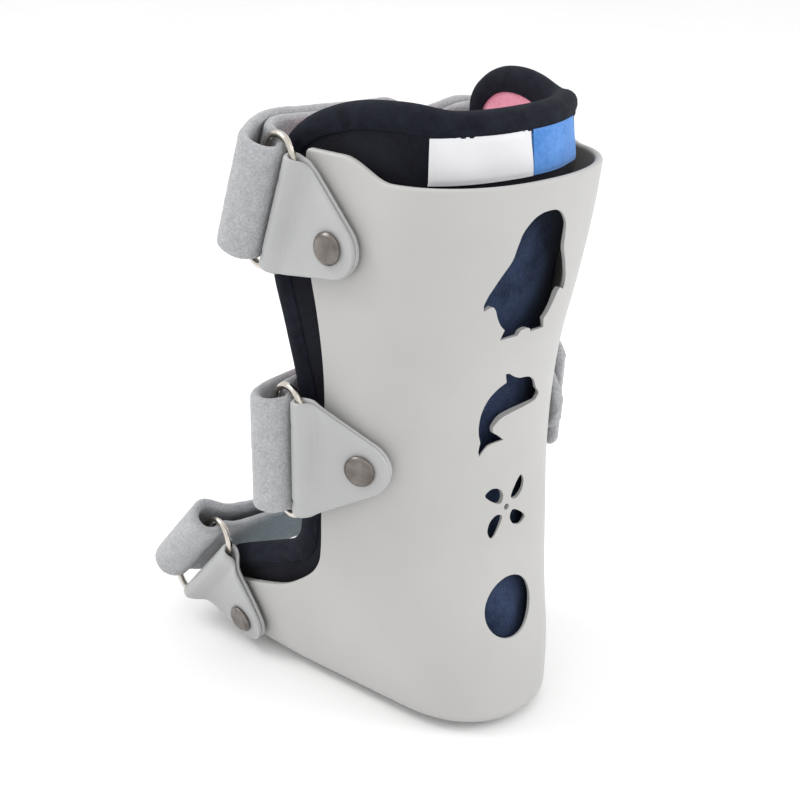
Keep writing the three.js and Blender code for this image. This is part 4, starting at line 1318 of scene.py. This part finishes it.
def build_closure(level, closure):
    near, far = closure_frames(closure, 1), closure_frames(closure, -1)
    tilt = math.radians(closure["tilt"])
    ahead = np.array([math.cos(tilt), 0, math.sin(tilt)])
    middle = near["frame"][:3, 3] * [1, 0, 1]
    band = right_frame(ahead, np.array([0, 1.0, 0]), middle)
    slope = math.atan2(near["forward"][1], near["forward"].dot(ahead))
    swing = -(math.radians(closure["lean"]) + slope)
    hinge = np.eye(4)
    hinge[:3, 3] = [TAB_REACH, TAB_STANDOFF + FOLD_RADIUS, 0]
    hinge[:2, :2] = [[math.cos(swing), -math.sin(swing)], [math.sin(swing), math.cos(swing)]]
    ring_place = near["frame"] @ hinge
    bar_point = moved(ring_place, [RING_SPAN, 0, 0]) - band[:3, 3]
    bar = np.array([bar_point.dot(band[:3, 0]), bar_point[1]])
    build_tab(level, near)
    build_ring(level, ring_place)
    build_rivet(
        f"rivet_head_{level}", f"rivet_{level}", near["seat"],
        TAB_STANDOFF + 2 * (TAB_WALL + CLEARANCE))
    build_strap(level, closure, far, band, bar)
    pocket_floor = STRAP_WALL - RIVET_RISE - 2 * CLEARANCE
    build_rivet(
        f"anchor_head_{level}", f"anchor_{level}", far["seat"],
        TAB_STANDOFF + pocket_floor + CLEARANCE)


# Stage
def area_light(name, place, target, size, power, colour=(1, 1, 1)):
    data = bpy.data.lights.new(name, "AREA")
    data.shape = "DISK"
    data.size = size
    data.energy = power
    data.color = colour
    lamp = bpy.data.objects.new(name, data)
    away = unit(np.array(place, float) - np.array(target, float))
    level = unit(np.cross([0, 0, 1.0], away))
    rows = np.eye(4)
    rows[:3, 0], rows[:3, 1], rows[:3, 2] = level, np.cross(away, level), away
    rows[:3, 3] = place
    lamp.matrix_world = Matrix(rows.tolist())
    bpy.context.scene.collection.objects.link(lamp)


def build_stage():
    floor = mesh_object(
        "floor", [(-4000, -4000, 0), (4000, -4000, 0), (4000, 4000, 0), (-4000, 4000, 0)],
        [[0, 1, 2, 3]], smooth=False)
    look = Look("pale_floor")
    look.colour(look.ramp(look.noise(3), (0.93, 0.93, 0.93), (0.95, 0.95, 0.95)))
    look.set(Roughness=0.9)
    floor.data.materials.append(look.material)
    world = bpy.data.worlds.new("studio")
    bpy.context.scene.world = world
    world.use_nodes = True
    sky = world.node_tree.nodes["Background"]
    sky.inputs["Color"].default_value = (1, 1, 1, 1)
    sky.inputs["Strength"].default_value = 1.0
    middle = (0.02, 0, 0.1)
    area_light("key", (-0.75, 0.35, 1.05), middle, 0.7, 0.9)
    area_light("front", (0.75, 0.6, 1.1), middle, 0.6, 6)
    area_light("back", (-0.8, -0.7, 0.7), middle, 0.7, 3.8)
    bpy.context.scene.view_settings.view_transform = "Standard"


build_shell()
build_sole()
build_padding()
build_binding_seams(*build_binding())
build_patch("blank_label", "white_cloth", "label", -0.008, 0.5, 0.3, 0.25)
build_patch("felt_panel", "blue_felt", "side_panel", -0.4, -0.016, 0.5, 0.1)
for level, closure in CLOSURES.items():
    build_closure(level, closure)
build_stage()
